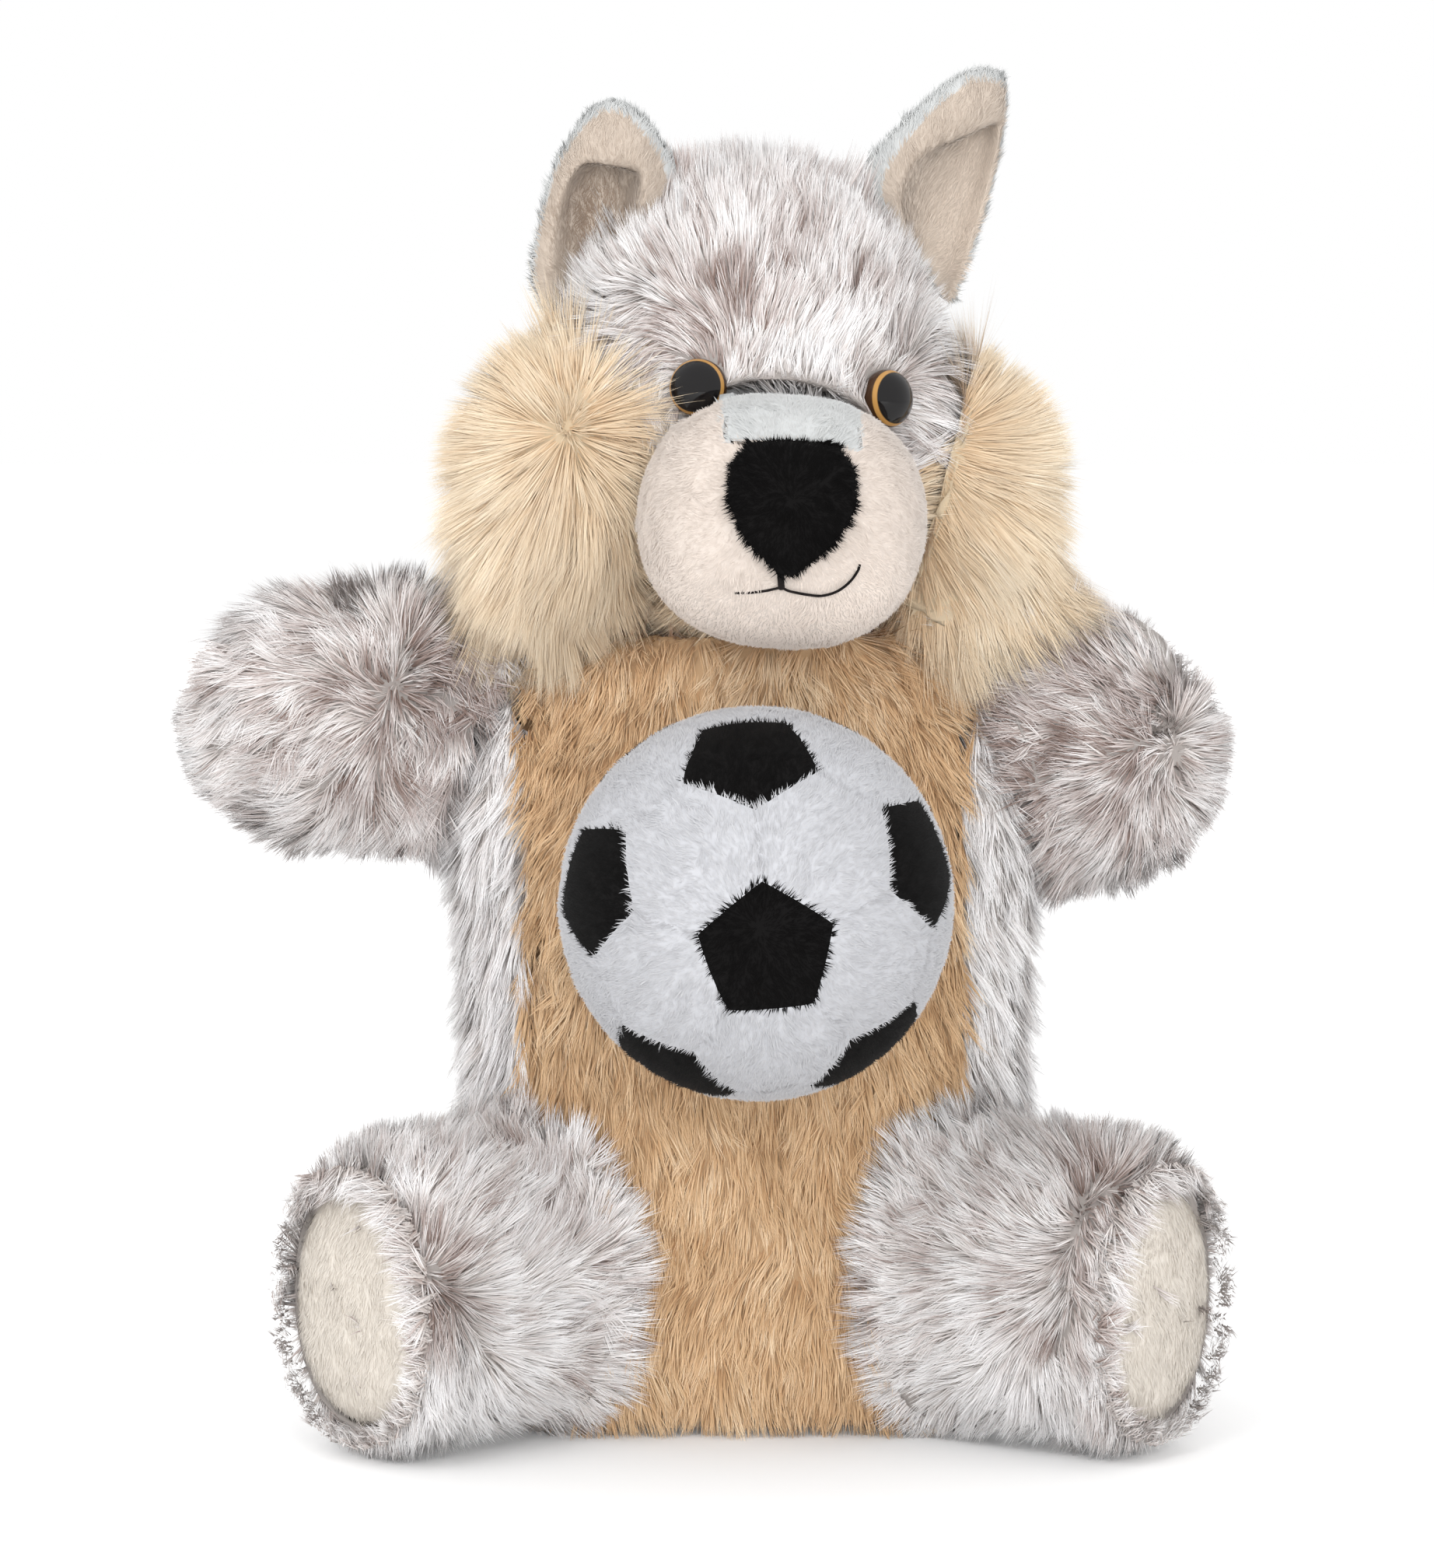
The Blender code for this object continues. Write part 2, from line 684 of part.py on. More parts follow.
def build_head(root, head, cloth, cuts):
    sleeve_top = finger_depth + neck_height - head_sink
    sleeve_low = neck_height - head_sink + head_wall + seam

    def finger_form(radius, low):
        profile = [(0, low), (radius, low), (radius, sleeve_top - finger_radius)]
        for across, along in dome_steps(3, reach=0.9):
            profile.append((radius * across, sleeve_top - finger_radius + radius * along))
        return profile + [(0, sleeve_top - finger_radius + radius)]

    neck_low = neck_height - 2 * head_sink
    neck_top = sleeve_low + head_wall
    neck = [(0, neck_low), (neck_hole_radius, neck_low), (neck_hole_radius, neck_top), (0, neck_top)]
    neck_cut = make_object("cut_head_neck", turned(neck, ROUND_COUNT), root)

    cover = make_object("head_cover", head_form(0, HEAD_COUNT), head, cloth["grey_fur"])
    cut(cover, cuts["head_hollow"], neck_cut, cuts["muzzle"])
    cut(cover, *(cuts[f"eye_seat_{side}"] for side in SIDES))

    fill = head_form(-head_wall - seam, INNER_COUNT)
    stuffing = make_object("head_stuffing", fill, head, cloth["stuffing"])
    pocket = turned(finger_form(finger_radius, neck_low), ROUND_COUNT)
    cut(stuffing, make_object("cut_finger_pocket", pocket, root))
    for side in SIDES:
        cut(stuffing, cuts[f"eye_seat_{side}"], cuts[f"washer_seat_{side}"])

    outside = finger_form(finger_radius - seam, sleeve_low)[1:]
    inside = finger_form(finger_radius - seam - sleeve_thickness, sleeve_low)[1:]
    sleeve = turned(outside[::-1] + inside, ROUND_COUNT)
    make_object("finger_sleeve", sleeve, root, cloth["lining"])

    for side in SIDES:
        cheek = make_object(f"cheek_{side}", cheek_form(side), head, cloth["cream_fur"])
        cut(cheek, cuts["head"], cuts["muzzle"], cuts["body"], cuts[f"arm_{side}"])
        build_ear(head, side, cloth, cuts)


# Football

def ball_middle():
    return Vector((ball_offset, -(body_half_depth + ball_radius - ball_sink), ball_height))


def build_ball(root, cloth):
    """Twelve pentagon panels in a white cover of hexagons, round one ball of stuffing."""
    down, side = math.radians(ball_down), math.radians(ball_side)
    aim = Vector((math.sin(side), -math.cos(side) * math.cos(down), -math.sin(down)))
    roll = Matrix.Rotation(math.radians(90 + ball_roll), 3, "Z").to_quaternion()
    frame = make_frame("ball_frame", root, ball_middle(), aim.to_track_quat("Z", "Y") @ roll)

    bm = bmesh.new()
    bmesh.ops.create_icosphere(bm, subdivisions=1, radius=ball_radius)
    edge = next(iter(bm.edges)).calc_length()
    bmesh.ops.bevel(
        bm, geom=bm.verts[:], offset=edge * pentagon_share, offset_type="OFFSET", segments=1,
        affect="VERTICES",
    )
    pentagons = [face for face in bm.faces if len(face.verts) == 5]
    bmesh.ops.inset_individual(bm, faces=pentagons, thickness=seam)
    corners = [[vert.co.copy() for vert in face.verts] for face in pentagons]
    corners.sort(key=lambda points: -sum((p.z for p in points)))
    hexagons = [face for face in bm.faces if len(face.verts) == 6]
    bmesh.ops.delete(bm, geom=[f for f in bm.faces if f not in hexagons], context="FACES")
    make_panels("ball_white_panels", bm, frame, cloth["white_plush"])
    for number, points in enumerate(corners, 1):
        patch = bmesh.new()
        patch.faces.new([patch.verts.new(point) for point in points])
        make_panels(f"ball_pentagon_{number:02}", patch, frame, cloth["black_plush"])
    core = round_form([ball_radius - ball_wall - seam] * 3, INNER_COUNT)
    make_object("ball_stuffing", core, frame, cloth["stuffing"])


def make_panels(name, bm, frame, material):
    """Rounds flat panels out to the ball's skin and gives them their thickness inwards."""
    bmesh.ops.poke(bm, faces=bm.faces[:])
    bmesh.ops.subdivide_edges(bm, edges=bm.edges[:], cuts=1, use_grid_fill=True)
    for vert in bm.verts:
        vert.co = vert.co.normalized() * ball_radius
    bmesh.ops.triangulate(bm, faces=bm.faces[:])
    carried = bmesh.ops.extrude_face_region(bm, geom=bm.faces[:])["geom"]
    for vert in (part for part in carried if isinstance(part, bmesh.types.BMVert)):
        vert.co *= 1 - ball_wall / ball_radius
    make_object(name, bm, frame, material)


def puppet_centre():
    """Where the body's middle stands, so that the origin is the middle of the puppet's outline."""
    reaches = []
    for side in SIDES:
        droop, forward = math.radians(arm_droop[side]), math.radians(arm_forward[side])
        along = arm_length(side) * math.cos(droop) * math.cos(forward)
        reaches.append(along + arm_tip_share * arm_full[1] * math.sin(droop))
    left, right = reaches
    front = body_half_depth + 2 * ball_radius - ball_sink
    return ((left - right) / 2, (front - head_half_depth) / 2, 0)


def main():
    clear_scene()
    cloth = {
        "grey_fur": make_material("grey_fur", (0.62, 0.58, 0.56), 0.9),
        "tan_fur": make_material("tan_fur", (0.62, 0.42, 0.24), 0.9),
        "cream_fur": make_material("cream_fur", (0.78, 0.62, 0.42), 0.9),
        "beige_plush": make_material("beige_plush", (0.78, 0.68, 0.57), 0.9),
        "blue_plush": make_material("blue_plush", (0.55, 0.57, 0.57), 0.9),
        "black_plush": make_material("black_plush", (0.01, 0.01, 0.01), 0.85),
        "white_plush": make_material("white_plush", (0.85, 0.85, 0.88), 0.9),
        "lining": make_material("lining", (0.6, 0.58, 0.55), 0.9),
        "stuffing": make_material("stuffing", (0.85, 0.85, 0.85), 0.95),
        "eye": make_material("eye", (0.03, 0.02, 0.01), 0.1),
        "washer": make_material("washer", (0.8, 0.8, 0.78), 0.4),
        "thread": make_material("thread", (0.02, 0.02, 0.02), 0.7),
    }
    root = make_frame("puppet", None, puppet_centre())
    head_middle = (head_side, 0, neck_height - head_sink + head_half_height)
    roll = Matrix.Rotation(math.radians(head_roll), 3, "Y")
    turns = [roll @ Matrix.Rotation(math.radians(turn), 3, "Z") for turn in (head_turn, muzzle_turn)]
    head = make_frame("head", root, head_middle, turns[0].to_quaternion())
    muzzle_middle = (head_side + muzzle_side, *head_middle[1:])
    muzzle = make_frame("muzzle_frame", root, muzzle_middle, turns[1].to_quaternion())
    arms = {side: arm_frame(root, side) for side in SIDES}

    ball_gap = bmesh.new()
    bmesh.ops.create_icosphere(ball_gap, subdivisions=4, radius=ball_radius + 1.5 * seam)
    bmesh.ops.translate(ball_gap, verts=ball_gap.verts, vec=ball_middle())
    floor = bmesh.new()
    bmesh.ops.create_cube(floor, size=REACH)
    bmesh.ops.translate(floor, verts=floor.verts, vec=(0, 0, -REACH / 2))
    cuts = {
        "body": make_object("cut_body", body_form(seam, BODY_COUNT, -body_wall), root),
        "head": make_object("cut_head", head_form(seam, HEAD_COUNT), head),
        "head_hollow": make_object("cut_head_hollow", head_form(-head_wall, INNER_COUNT), head),
        "muzzle": make_object("cut_muzzle", muzzle_form(seam, LIMB_COUNT), muzzle),
        "ball": make_object("cut_ball", ball_gap, root),
        "floor": make_object("cut_floor", floor, root),
    }
    for side in SIDES:
        pocket = pocket_form(side, 0, ROUND_COUNT)
        cuts[f"pocket_{side}"] = make_object(f"cut_pocket_{side}", pocket, arms[side])
        outer = arm_form(side, seam, LIMB_COUNT)
        cuts[f"arm_{side}"] = make_object(f"cut_arm_{side}", outer, arms[side])
        seats = build_eye(head, side, cloth)
        cuts[f"eye_seat_{side}"], cuts[f"washer_seat_{side}"] = seats

    build_body(root, cloth, cuts)
    for side in SIDES:
        build_arm(arms[side], side, cloth, cuts)
        build_leg(root, side, cloth, cuts)
    build_muzzle(muzzle, cloth, cuts)
    build_head(root, head, cloth, cuts)
    build_ball(root, cloth)


main()
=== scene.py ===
import json
import math

import bmesh
import bpy
import numpy as np
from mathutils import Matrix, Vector, noise
from mathutils.bvhtree import BVHTree
from mathutils.kdtree import KDTree

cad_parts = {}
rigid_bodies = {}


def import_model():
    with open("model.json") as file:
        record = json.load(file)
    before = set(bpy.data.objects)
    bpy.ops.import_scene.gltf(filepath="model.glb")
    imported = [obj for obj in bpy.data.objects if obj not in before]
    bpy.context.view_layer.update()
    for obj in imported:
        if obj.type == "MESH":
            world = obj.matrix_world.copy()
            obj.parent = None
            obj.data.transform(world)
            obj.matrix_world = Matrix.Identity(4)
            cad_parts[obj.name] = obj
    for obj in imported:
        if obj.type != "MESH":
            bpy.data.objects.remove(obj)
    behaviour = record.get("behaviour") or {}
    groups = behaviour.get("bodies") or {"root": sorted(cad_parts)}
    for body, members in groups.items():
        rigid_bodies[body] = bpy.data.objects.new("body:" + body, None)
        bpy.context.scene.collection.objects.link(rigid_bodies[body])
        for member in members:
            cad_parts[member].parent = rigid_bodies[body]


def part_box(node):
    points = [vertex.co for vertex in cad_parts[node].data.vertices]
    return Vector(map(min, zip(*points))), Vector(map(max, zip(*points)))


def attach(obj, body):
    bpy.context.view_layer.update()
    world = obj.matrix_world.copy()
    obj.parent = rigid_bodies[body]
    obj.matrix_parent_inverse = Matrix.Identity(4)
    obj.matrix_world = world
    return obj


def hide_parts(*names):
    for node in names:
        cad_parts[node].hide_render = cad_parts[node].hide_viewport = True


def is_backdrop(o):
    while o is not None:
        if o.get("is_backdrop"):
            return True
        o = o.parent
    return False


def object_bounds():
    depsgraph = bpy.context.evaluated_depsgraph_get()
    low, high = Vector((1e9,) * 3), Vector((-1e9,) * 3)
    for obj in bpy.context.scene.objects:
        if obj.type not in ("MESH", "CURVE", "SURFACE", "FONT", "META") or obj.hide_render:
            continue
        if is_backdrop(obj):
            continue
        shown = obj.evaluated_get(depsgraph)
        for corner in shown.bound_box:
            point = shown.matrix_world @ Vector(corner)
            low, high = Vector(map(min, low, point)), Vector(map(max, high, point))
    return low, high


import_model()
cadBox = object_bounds()
bpy.ops.object.select_all(action="DESELECT")
mm = 0.001
sides = ("left", "right")


def boxMid(node):
    low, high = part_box(node)
    return (low + high) / 2


def inBox(node, x, y, z):  # a point by its shares of a node's box
    low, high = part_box(node)
    return np.array([low[i] + (high[i] - low[i]) * share for i, share in enumerate((x, y, z))])


def unit(vectors):
    lengths = np.linalg.norm(vectors, axis=-1, keepdims=True)
    return vectors / np.maximum(lengths, 1e-12)


def ramp(value, start, end):  # a smooth step from 0 at start to 1 at end
    share = np.clip((value - start) / (end - start), 0, 1)
    return share * share * (3 - 2 * share)


def addObject(name, data):
    made = bpy.data.objects.new(name, data)
    bpy.context.collection.objects.link(made)
    return made


# Camera, and the sight lines of the photograph's pixels

target = Vector((0.00205, 0, 0.1215))
view = dict(elevation=6.0, distance=1.3, scale=0.142 * mm, pixelsHigh=2016, middlePixel=922, sensor=36)
cameraData = bpy.data.cameras.new("camera")
camera = addObject("camera", cameraData)
tilt = math.radians(view["elevation"])
camera.location = target + view["distance"] * Vector((0, -math.cos(tilt), math.sin(tilt)))
camera.rotation_euler = (math.pi / 2 - tilt, 0, 0)
cameraData.sensor_fit = "VERTICAL"
cameraData.sensor_height = view["sensor"]
cameraData.lens = view["sensor"] * view["distance"] / (view["pixelsHigh"] * view["scale"])
bpy.context.scene.camera = camera
upward = np.array([0, math.sin(tilt), math.cos(tilt)])


def seen(tree, px, py):  # the point of a part's surface that a pixel of the photograph shows
    ahead = Vector((0, math.cos(tilt), -math.sin(tilt)))
    across = (px - view["middlePixel"]) * view["scale"]
    above = (view["pixelsHigh"] / 2 - py) * view["scale"]
    way = (ahead * view["distance"] + Vector((across, 0, 0)) + Vector(upward) * above).normalized()
    place = tree.ray_cast(camera.location, way, 3)[0]
    return np.array(place or tree.find_nearest(camera.location + way * view["distance"])[0])


def pixelsOf(points):  # where points stand in the photograph
    gaps = points - np.array(camera.location)
    away = gaps @ np.array([0, math.cos(tilt), -math.sin(tilt)]) / view["distance"]
    across = gaps[:, 0] / away / view["scale"]
    return view["middlePixel"] + across, view["pixelsHigh"] / 2 - (gaps @ upward) / away / view["scale"]


def smoothLine(points, count):  # an even curve through some points, of any number of columns
    points = np.array(points, float)
    padded = np.vstack([2 * points[0] - points[1], points, 2 * points[-1] - points[-2]])
    at = np.linspace(0, len(points) - 1 - 1e-9, count)
    index = at.astype(int)
    t = (at - index)[:, None]
    a, b, c, d = (padded[index + step] for step in range(4))
    return 0.5 * (2 * b + (c - a) * t + (2 * a - 5 * b + 4 * c - d) * t**2 + (3 * b - a - 3 * c + d) * t**3)


# Materials

def nodeMaterial(name, roughness, specular=0.3, **sockets):
    material = bpy.data.materials.new(name)
    material.use_nodes = True
    shader = material.node_tree.nodes["Principled BSDF"]
    shader.inputs["Roughness"].default_value = roughness
    shader.inputs["Specular IOR Level"].default_value = specular
    for socket, value in sockets.items():
        shader.inputs[socket.replace("_", " ")].default_value = value
    return material, material.node_tree, shader


def srgb(*channels):  # display colour, 0 to 255, as Blender's linear colour
    linear = []
    for channel in channels:
        share = channel / 255
        linear.append(share / 12.92 if share <= 0.04045 else ((share + 0.055) / 1.055) ** 2.4)
    return (*linear, 1)


def stops(*rows):  # a colour ramp's stops from rows of place, red, green and blue
    return [(place, srgb(*colour)) for place, *colour in rows]


def colourRamp(tree, stopList):
    made = tree.nodes.new("ShaderNodeValToRGB")
    elements = made.color_ramp.elements
    while len(elements) < len(stopList):
        elements.new(0.5)
    for element, (place, colour) in zip(elements, stopList):
        element.position = place
        element.color = colour
    return made


def furMaterial(name, tips, roots, sheen=0.25, specular=0.22):
    # tips: colours across the strands' tones; roots: (place along the strand, colour) from the skin, where
    # darker near the skin partly the fur's own darker roots and partly painted shade deep in the pile
    material, tree, shader = nodeMaterial(name, 0.72, specular, Sheen_Weight=sheen, Sheen_Roughness=0.5)
    place = tree.nodes.new("ShaderNodeUVMap")
    place.uv_map = "OFBake"
    parts = tree.nodes.new("ShaderNodeSeparateXYZ")
    tree.links.new(place.outputs["UV"], parts.inputs[0])
    tone = colourRamp(tree, tips)
    tree.links.new(parts.outputs["X"], tone.inputs[0])
    shade = colourRamp(tree, roots)
    tree.links.new(parts.outputs["Y"], shade.inputs[0])
    mix = tree.nodes.new("ShaderNodeMix")
    mix.data_type = "RGBA"
    mix.blend_type = "MULTIPLY"
    mix.inputs["Factor"].default_value = 1
    tree.links.new(tone.outputs["Color"], mix.inputs["A"])
    tree.links.new(shade.outputs["Color"], mix.inputs["B"])
    tree.links.new(mix.outputs["Result"], shader.inputs["Base Color"])
    return material


def clothMaterial(name, light, dark, threads=1500, depth=0.25, roughness=0.9):
    # a plain cloth: fine crossing threads and a slow change of colour
    material, tree, shader = nodeMaterial(name, roughness, 0.2)
    place = tree.nodes.new("ShaderNodeTexCoord")
    weave = tree.nodes.new("ShaderNodeTexNoise")
    weave.inputs["Scale"].default_value = threads
    weave.inputs["Detail"].default_value = 3
    drift = tree.nodes.new("ShaderNodeTexNoise")
    drift.inputs["Scale"].default_value = 60
    mix = colourRamp(tree, [(0.3, dark), (0.7, light)])
    bump = tree.nodes.new("ShaderNodeBump")
    bump.inputs["Strength"].default_value = depth
    bump.inputs["Distance"].default_value = 0.3 * mm
    for texture in (weave, drift):
        tree.links.new(place.outputs["Object"], texture.inputs["Vector"])
    tree.links.new(drift.outputs["Fac"], mix.inputs[0])
    tree.links.new(weave.outputs["Fac"], bump.inputs["Height"])
    tree.links.new(mix.outputs["Color"], shader.inputs["Base Color"])
    tree.links.new(bump.outputs["Normal"], shader.inputs["Normal"])
    return material


# Skins: the backing cloth that the pile grows from

allNodes = [piece.name for piece in bpy.data.objects if piece.type == "MESH"]
hiddenParts = ("stuffing", "lining", "sleeve", "washer", "stitch", "eye_")
outerNodes = [node for node in allNodes if not any(part in node for part in hiddenParts)]


def treeOf(nodes):
    bm = bmesh.new()
    for node in nodes:
        bm.from_mesh(bpy.data.objects[node].data)
    tree = BVHTree.FromBMesh(bm)
    bm.free()
    return tree


def applyModifier(piece, kind, **values):
    modifier = piece.modifiers.new(kind.title(), kind)
    for key, value in values.items():
        setattr(modifier, key, value)
    bpy.context.view_layer.objects.active = piece
    bpy.ops.object.modifier_apply(modifier=modifier.name)


outerFaces = {}  # how many faces a skin's outside has; as many follow for its inside, then its cut edges
addedTriangles = []


def outerSkin(name, nodes, inset, levels=1, smoothing=4, keepFace=None, plugs=(), beside=0.3, spread=7 * mm,
              thickness=1.5 * mm):
    # the outside of some CAD nodes as one smooth cloth, drawn in by the depth of its pile, but only by
    # the share beside where another part meets it; plugs are parts whose seats in it are filled
    own = treeOf(nodes)
    apart = treeOf([node for node in outerNodes if node not in nodes and node not in plugs])
    bm = bmesh.new()
    for node in [*nodes, *plugs]:
        bm.from_mesh(bpy.data.objects[node].data)
    bmesh.ops.remove_doubles(bm, verts=bm.verts, dist=0.01 * mm)
    if plugs:
        mesh = bpy.data.meshes.new("fused")
        bm.to_mesh(mesh)
        fused = addObject("fused", mesh)
        applyModifier(fused, "REMESH", mode="VOXEL", voxel_size=1.2 * mm)
        bm.clear()
        bm.from_mesh(fused.data)
        bpy.data.objects.remove(fused)
        own = BVHTree.FromBMesh(bm)
    hidden = []
    for face in bm.faces:
        middle = face.calc_center_median()
        inner = own.ray_cast(middle + face.normal * 0.05 * mm, face.normal, 0.4)[0] is not None
        if inner or (keepFace and not keepFace(middle, face.normal)):
            hidden.append(face)
    bmesh.ops.delete(bm, geom=hidden, context="FACES")
    bmesh.ops.remove_doubles(bm, verts=bm.verts, dist=0.5 * mm)
    bmesh.ops.triangulate(bm, faces=bm.faces)
    outside = BVHTree.FromBMesh(bm)
    mesh = bpy.data.meshes.new(name)
    bm.to_mesh(mesh)
    bm.free()
    skin = addObject(name, mesh)
    if plugs:
        applyModifier(skin, "SMOOTH", factor=0.5, iterations=8)
        applyModifier(skin, "DECIMATE", ratio=0.3)
    else:
        applyModifier(skin, "SUBSURF", subdivision_type="SIMPLE", levels=levels, render_levels=levels)
    applyModifier(skin, "SMOOTH", factor=0.5, iterations=smoothing)
    places = [vertex.co.copy() for vertex in mesh.vertices]
    gaps = np.array([apart.find_nearest(place)[3] for place in places])
    depths = inset * (beside + (1 - beside) * ramp(gaps, 0.5 * mm, spread))
    inward = [vertex.normal * -depth for vertex, depth in zip(mesh.vertices, depths)]
    for vertex, move in zip(mesh.vertices, inward):
        vertex.co += move
    for repeat in range(4):  # corners are drawn in as deep as the rest
        for vertex, depth in zip(mesh.vertices, depths):
            place, normal, face, gap = outside.find_nearest(vertex.co)
            if gap < depth and (vertex.co - place).dot(normal) < 0:
                vertex.co += (vertex.co - place).normalized() * (depth - gap)
        applyModifier(skin, "SMOOTH", factor=0.5, iterations=1)
    if thickness:
        outerFaces[name] = len(mesh.polygons)
        applyModifier(skin, "SOLIDIFY", thickness=thickness, offset=-1)
    mesh.shade_smooth()
    return skin


def finishSkin(skin, nodes, cloths):
    skin.data.materials.clear()
    for cloth in cloths:
        skin.data.materials.append(cloth)
    if len(cloths) > 1:  # each part of the skin in the cloth of the node over it
        middles = [np.array(face.center) for face in skin.data.polygons]
        owners = ownerOf(nodes, middles, [np.array(face.normal) for face in skin.data.polygons])
        for face, owner in zip(skin.data.polygons, owners):
            face.material_index = min(owner, len(cloths) - 1)
    skin.data.calc_loop_triangles()
    addedTriangles.append(len(skin.data.loop_triangles))
    print(f"{skin.name}: {len(skin.data.loop_triangles)} triangles")
    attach(skin, "root")
    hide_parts(*nodes)


# Pile: every strand is one long triangle, rooted in a skin

def skinArrays(skin):
    mesh = skin.data
    mesh.calc_loop_triangles()
    points = np.empty(len(mesh.vertices) * 3)
    mesh.vertices.foreach_get("co", points)
    normals = np.empty(len(mesh.vertices) * 3)
    mesh.vertices.foreach_get("normal", normals)
    corners = np.empty(len(mesh.loop_triangles) * 3, np.int32)
    mesh.loop_triangles.foreach_get("vertices", corners)
    corners = corners.reshape(-1, 3)
    onEdge = np.zeros(len(corners), bool)
    if skin.name in outerFaces:
        faces = np.empty(len(corners), np.int32)
        mesh.loop_triangles.foreach_get("polygon_index", faces)
        layer = faces // outerFaces[skin.name]
        corners, onEdge = corners[layer != 1], layer[layer != 1] > 1
    return points.reshape(-1, 3), normals.reshape(-1, 3), corners, onEdge


# rays that ask whether a root is covered: straight up, and leaning out on every side
coverRays = dict(turn=60, lean=1.9, leanReach=2.3, fringe=0.6)


def plantRoots(skin, perSquareMm, seed, covered, reach):
    # even random roots on the skin, leaving out those well inside what another part covers
    rng = np.random.default_rng(seed)
    points, normals, corners, onEdge = skinArrays(skin)
    a, b, c = (points[corners[:, i]] for i in range(3))
    areas = np.linalg.norm(np.cross(b - a, c - a), axis=1) / 2
    wanted = areas * 1e6 * perSquareMm
    chosen = np.repeat(np.arange(len(areas)), (wanted + rng.random(len(areas))).astype(int))
    count = len(chosen)
    u, v = rng.random((2, count))
    flip = u + v > 1
    u[flip], v[flip] = 1 - u[flip], 1 - v[flip]
    weights = np.stack([1 - u - v, u, v], 1)[:, :, None]
    roots = (points[corners[chosen]] * weights).sum(1)
    facing = unit((normals[corners[chosen]] * weights).sum(1))
    cut = onEdge[chosen]  # the pile on a cut edge stands out with the rest
    facing[cut] = unit(facing[cut] + 2 * unit(roots[cut] - points.mean(0)))
    side = unit(np.cross(facing, [0.3, 0.5, 0.8]))
    other = np.cross(facing, side)
    turns = [math.radians(turn) for turn in range(0, 360, coverRays["turn"])]
    leans = [facing + coverRays["lean"] * (math.cos(turn) * side + math.sin(turn) * other) for turn in turns]
    far = reach * coverRays["leanReach"]
    free = []
    for i, root in enumerate(roots):
        buried = covered.ray_cast(root, facing[i], reach)[0] is not None
        free.append(not buried or any(covered.ray_cast(root, lean[i], far)[0] is None for lean in leans))
    free = np.array(free)
    edge = KDTree(int(free.sum()))  # and a fringe of the covered ones, whose strands reach out
    for index, root in enumerate(roots[free]):
        edge.insert(root, index)
    edge.balance()
    for i in np.flatnonzero(~free):
        free[i] = edge.find(roots[i])[2] < coverRays["fringe"] * reach
    return roots[free], facing[free]


def ownerOf(nodes, roots, normals):  # which node's outside lies over each root, by its place in nodes
    points, faces, owners = [], [], []
    for index, node in enumerate(nodes):
        mesh = bpy.data.objects[node].data
        faces += [[corner + len(points) for corner in face.vertices] for face in mesh.polygons]
        owners += [index] * len(mesh.polygons)
        points += [vertex.co for vertex in mesh.vertices]
    tree = BVHTree.FromPolygons(points, faces)
    found = []
    for root, normal in zip(roots, normals):
        face = tree.ray_cast(Vector(root + normal * 4 * mm), Vector(-normal), 9 * mm)[2]
        found.append(owners[tree.find_nearest(root)[2] if face is None else face])
    return np.array(found)


def flow(tree, guides, fallback, reach=16 * mm):
    # the lie of the pile read from the photograph: (pixel x, pixel y, angle), 0 to the right and 90 up
    places = np.array([seen(tree, px, py) for px, py, angle in guides])
    turns = np.radians([angle for px, py, angle in guides])
    ways = np.outer(np.cos(turns), [1, 0, 0]) + np.outer(np.sin(turns), upward)

    def combing(roots, normals):
        gaps = np.linalg.norm(roots[:, None] - places[None], axis=2)
        weights = 1 / (gaps**2 + (2 * mm) ** 2) ** 1.5
        lie = (weights[:, :, None] * ways[None]).sum(1) / weights.sum(1, keepdims=True)
        near = (1 - ramp(gaps.min(1), 0.5 * reach, reach))[:, None]
        return lie * near + unit(fallback(roots, normals)) * (1 - near)

    return combing


def shadeMarks(tree, marks, toning):  # darker or lighter places, some of them painted light and painted shade: (pixel x, pixel y, radius in mm, change)
    places = [(seen(tree, px, py), radius * mm, change) for px, py, radius, change in marks]

    def marked(roots, normals, tuft, wisp, rng):
        tone = toning(roots, normals, tuft, wisp, rng)
        for place, radius, change in places:
            tone = tone + change * np.exp(-(np.linalg.norm(roots - place, axis=1) / radius) ** 2)
        return tone

    return marked


def tufts(roots, size, rng):  # which tuft each root belongs to, for tufts about as wide as size
    spread = np.ptp(roots, axis=0)
    cover = 1.6 * (spread[0] * spread[1] + spread[1] * spread[2] + spread[0] * spread[2])
    count = int(min(len(roots) / 3, max(8, cover / size**2)))
    tree = KDTree(count)
    for index, centre in enumerate(roots[rng.choice(len(roots), count, replace=False)]):
        tree.insert(centre, index)
    tree.balance()
    return np.array([tree.find(root)[1] for root in roots]), count


def tuftMean(values, tuft, count):
    sums = np.stack([np.bincount(tuft, values[:, i], count) for i in range(values.shape[1])], 1)
    return (sums / np.maximum(np.bincount(tuft, minlength=count), 1)[:, None])[tuft]


def mottle(roots, scale, seed):  # smooth noise from about -1 to 1
    offset = Vector((seed * 7.3, seed * 3.1, seed * 5.7))
    return np.array([noise.noise(Vector(root) * scale + offset) for root in roots])


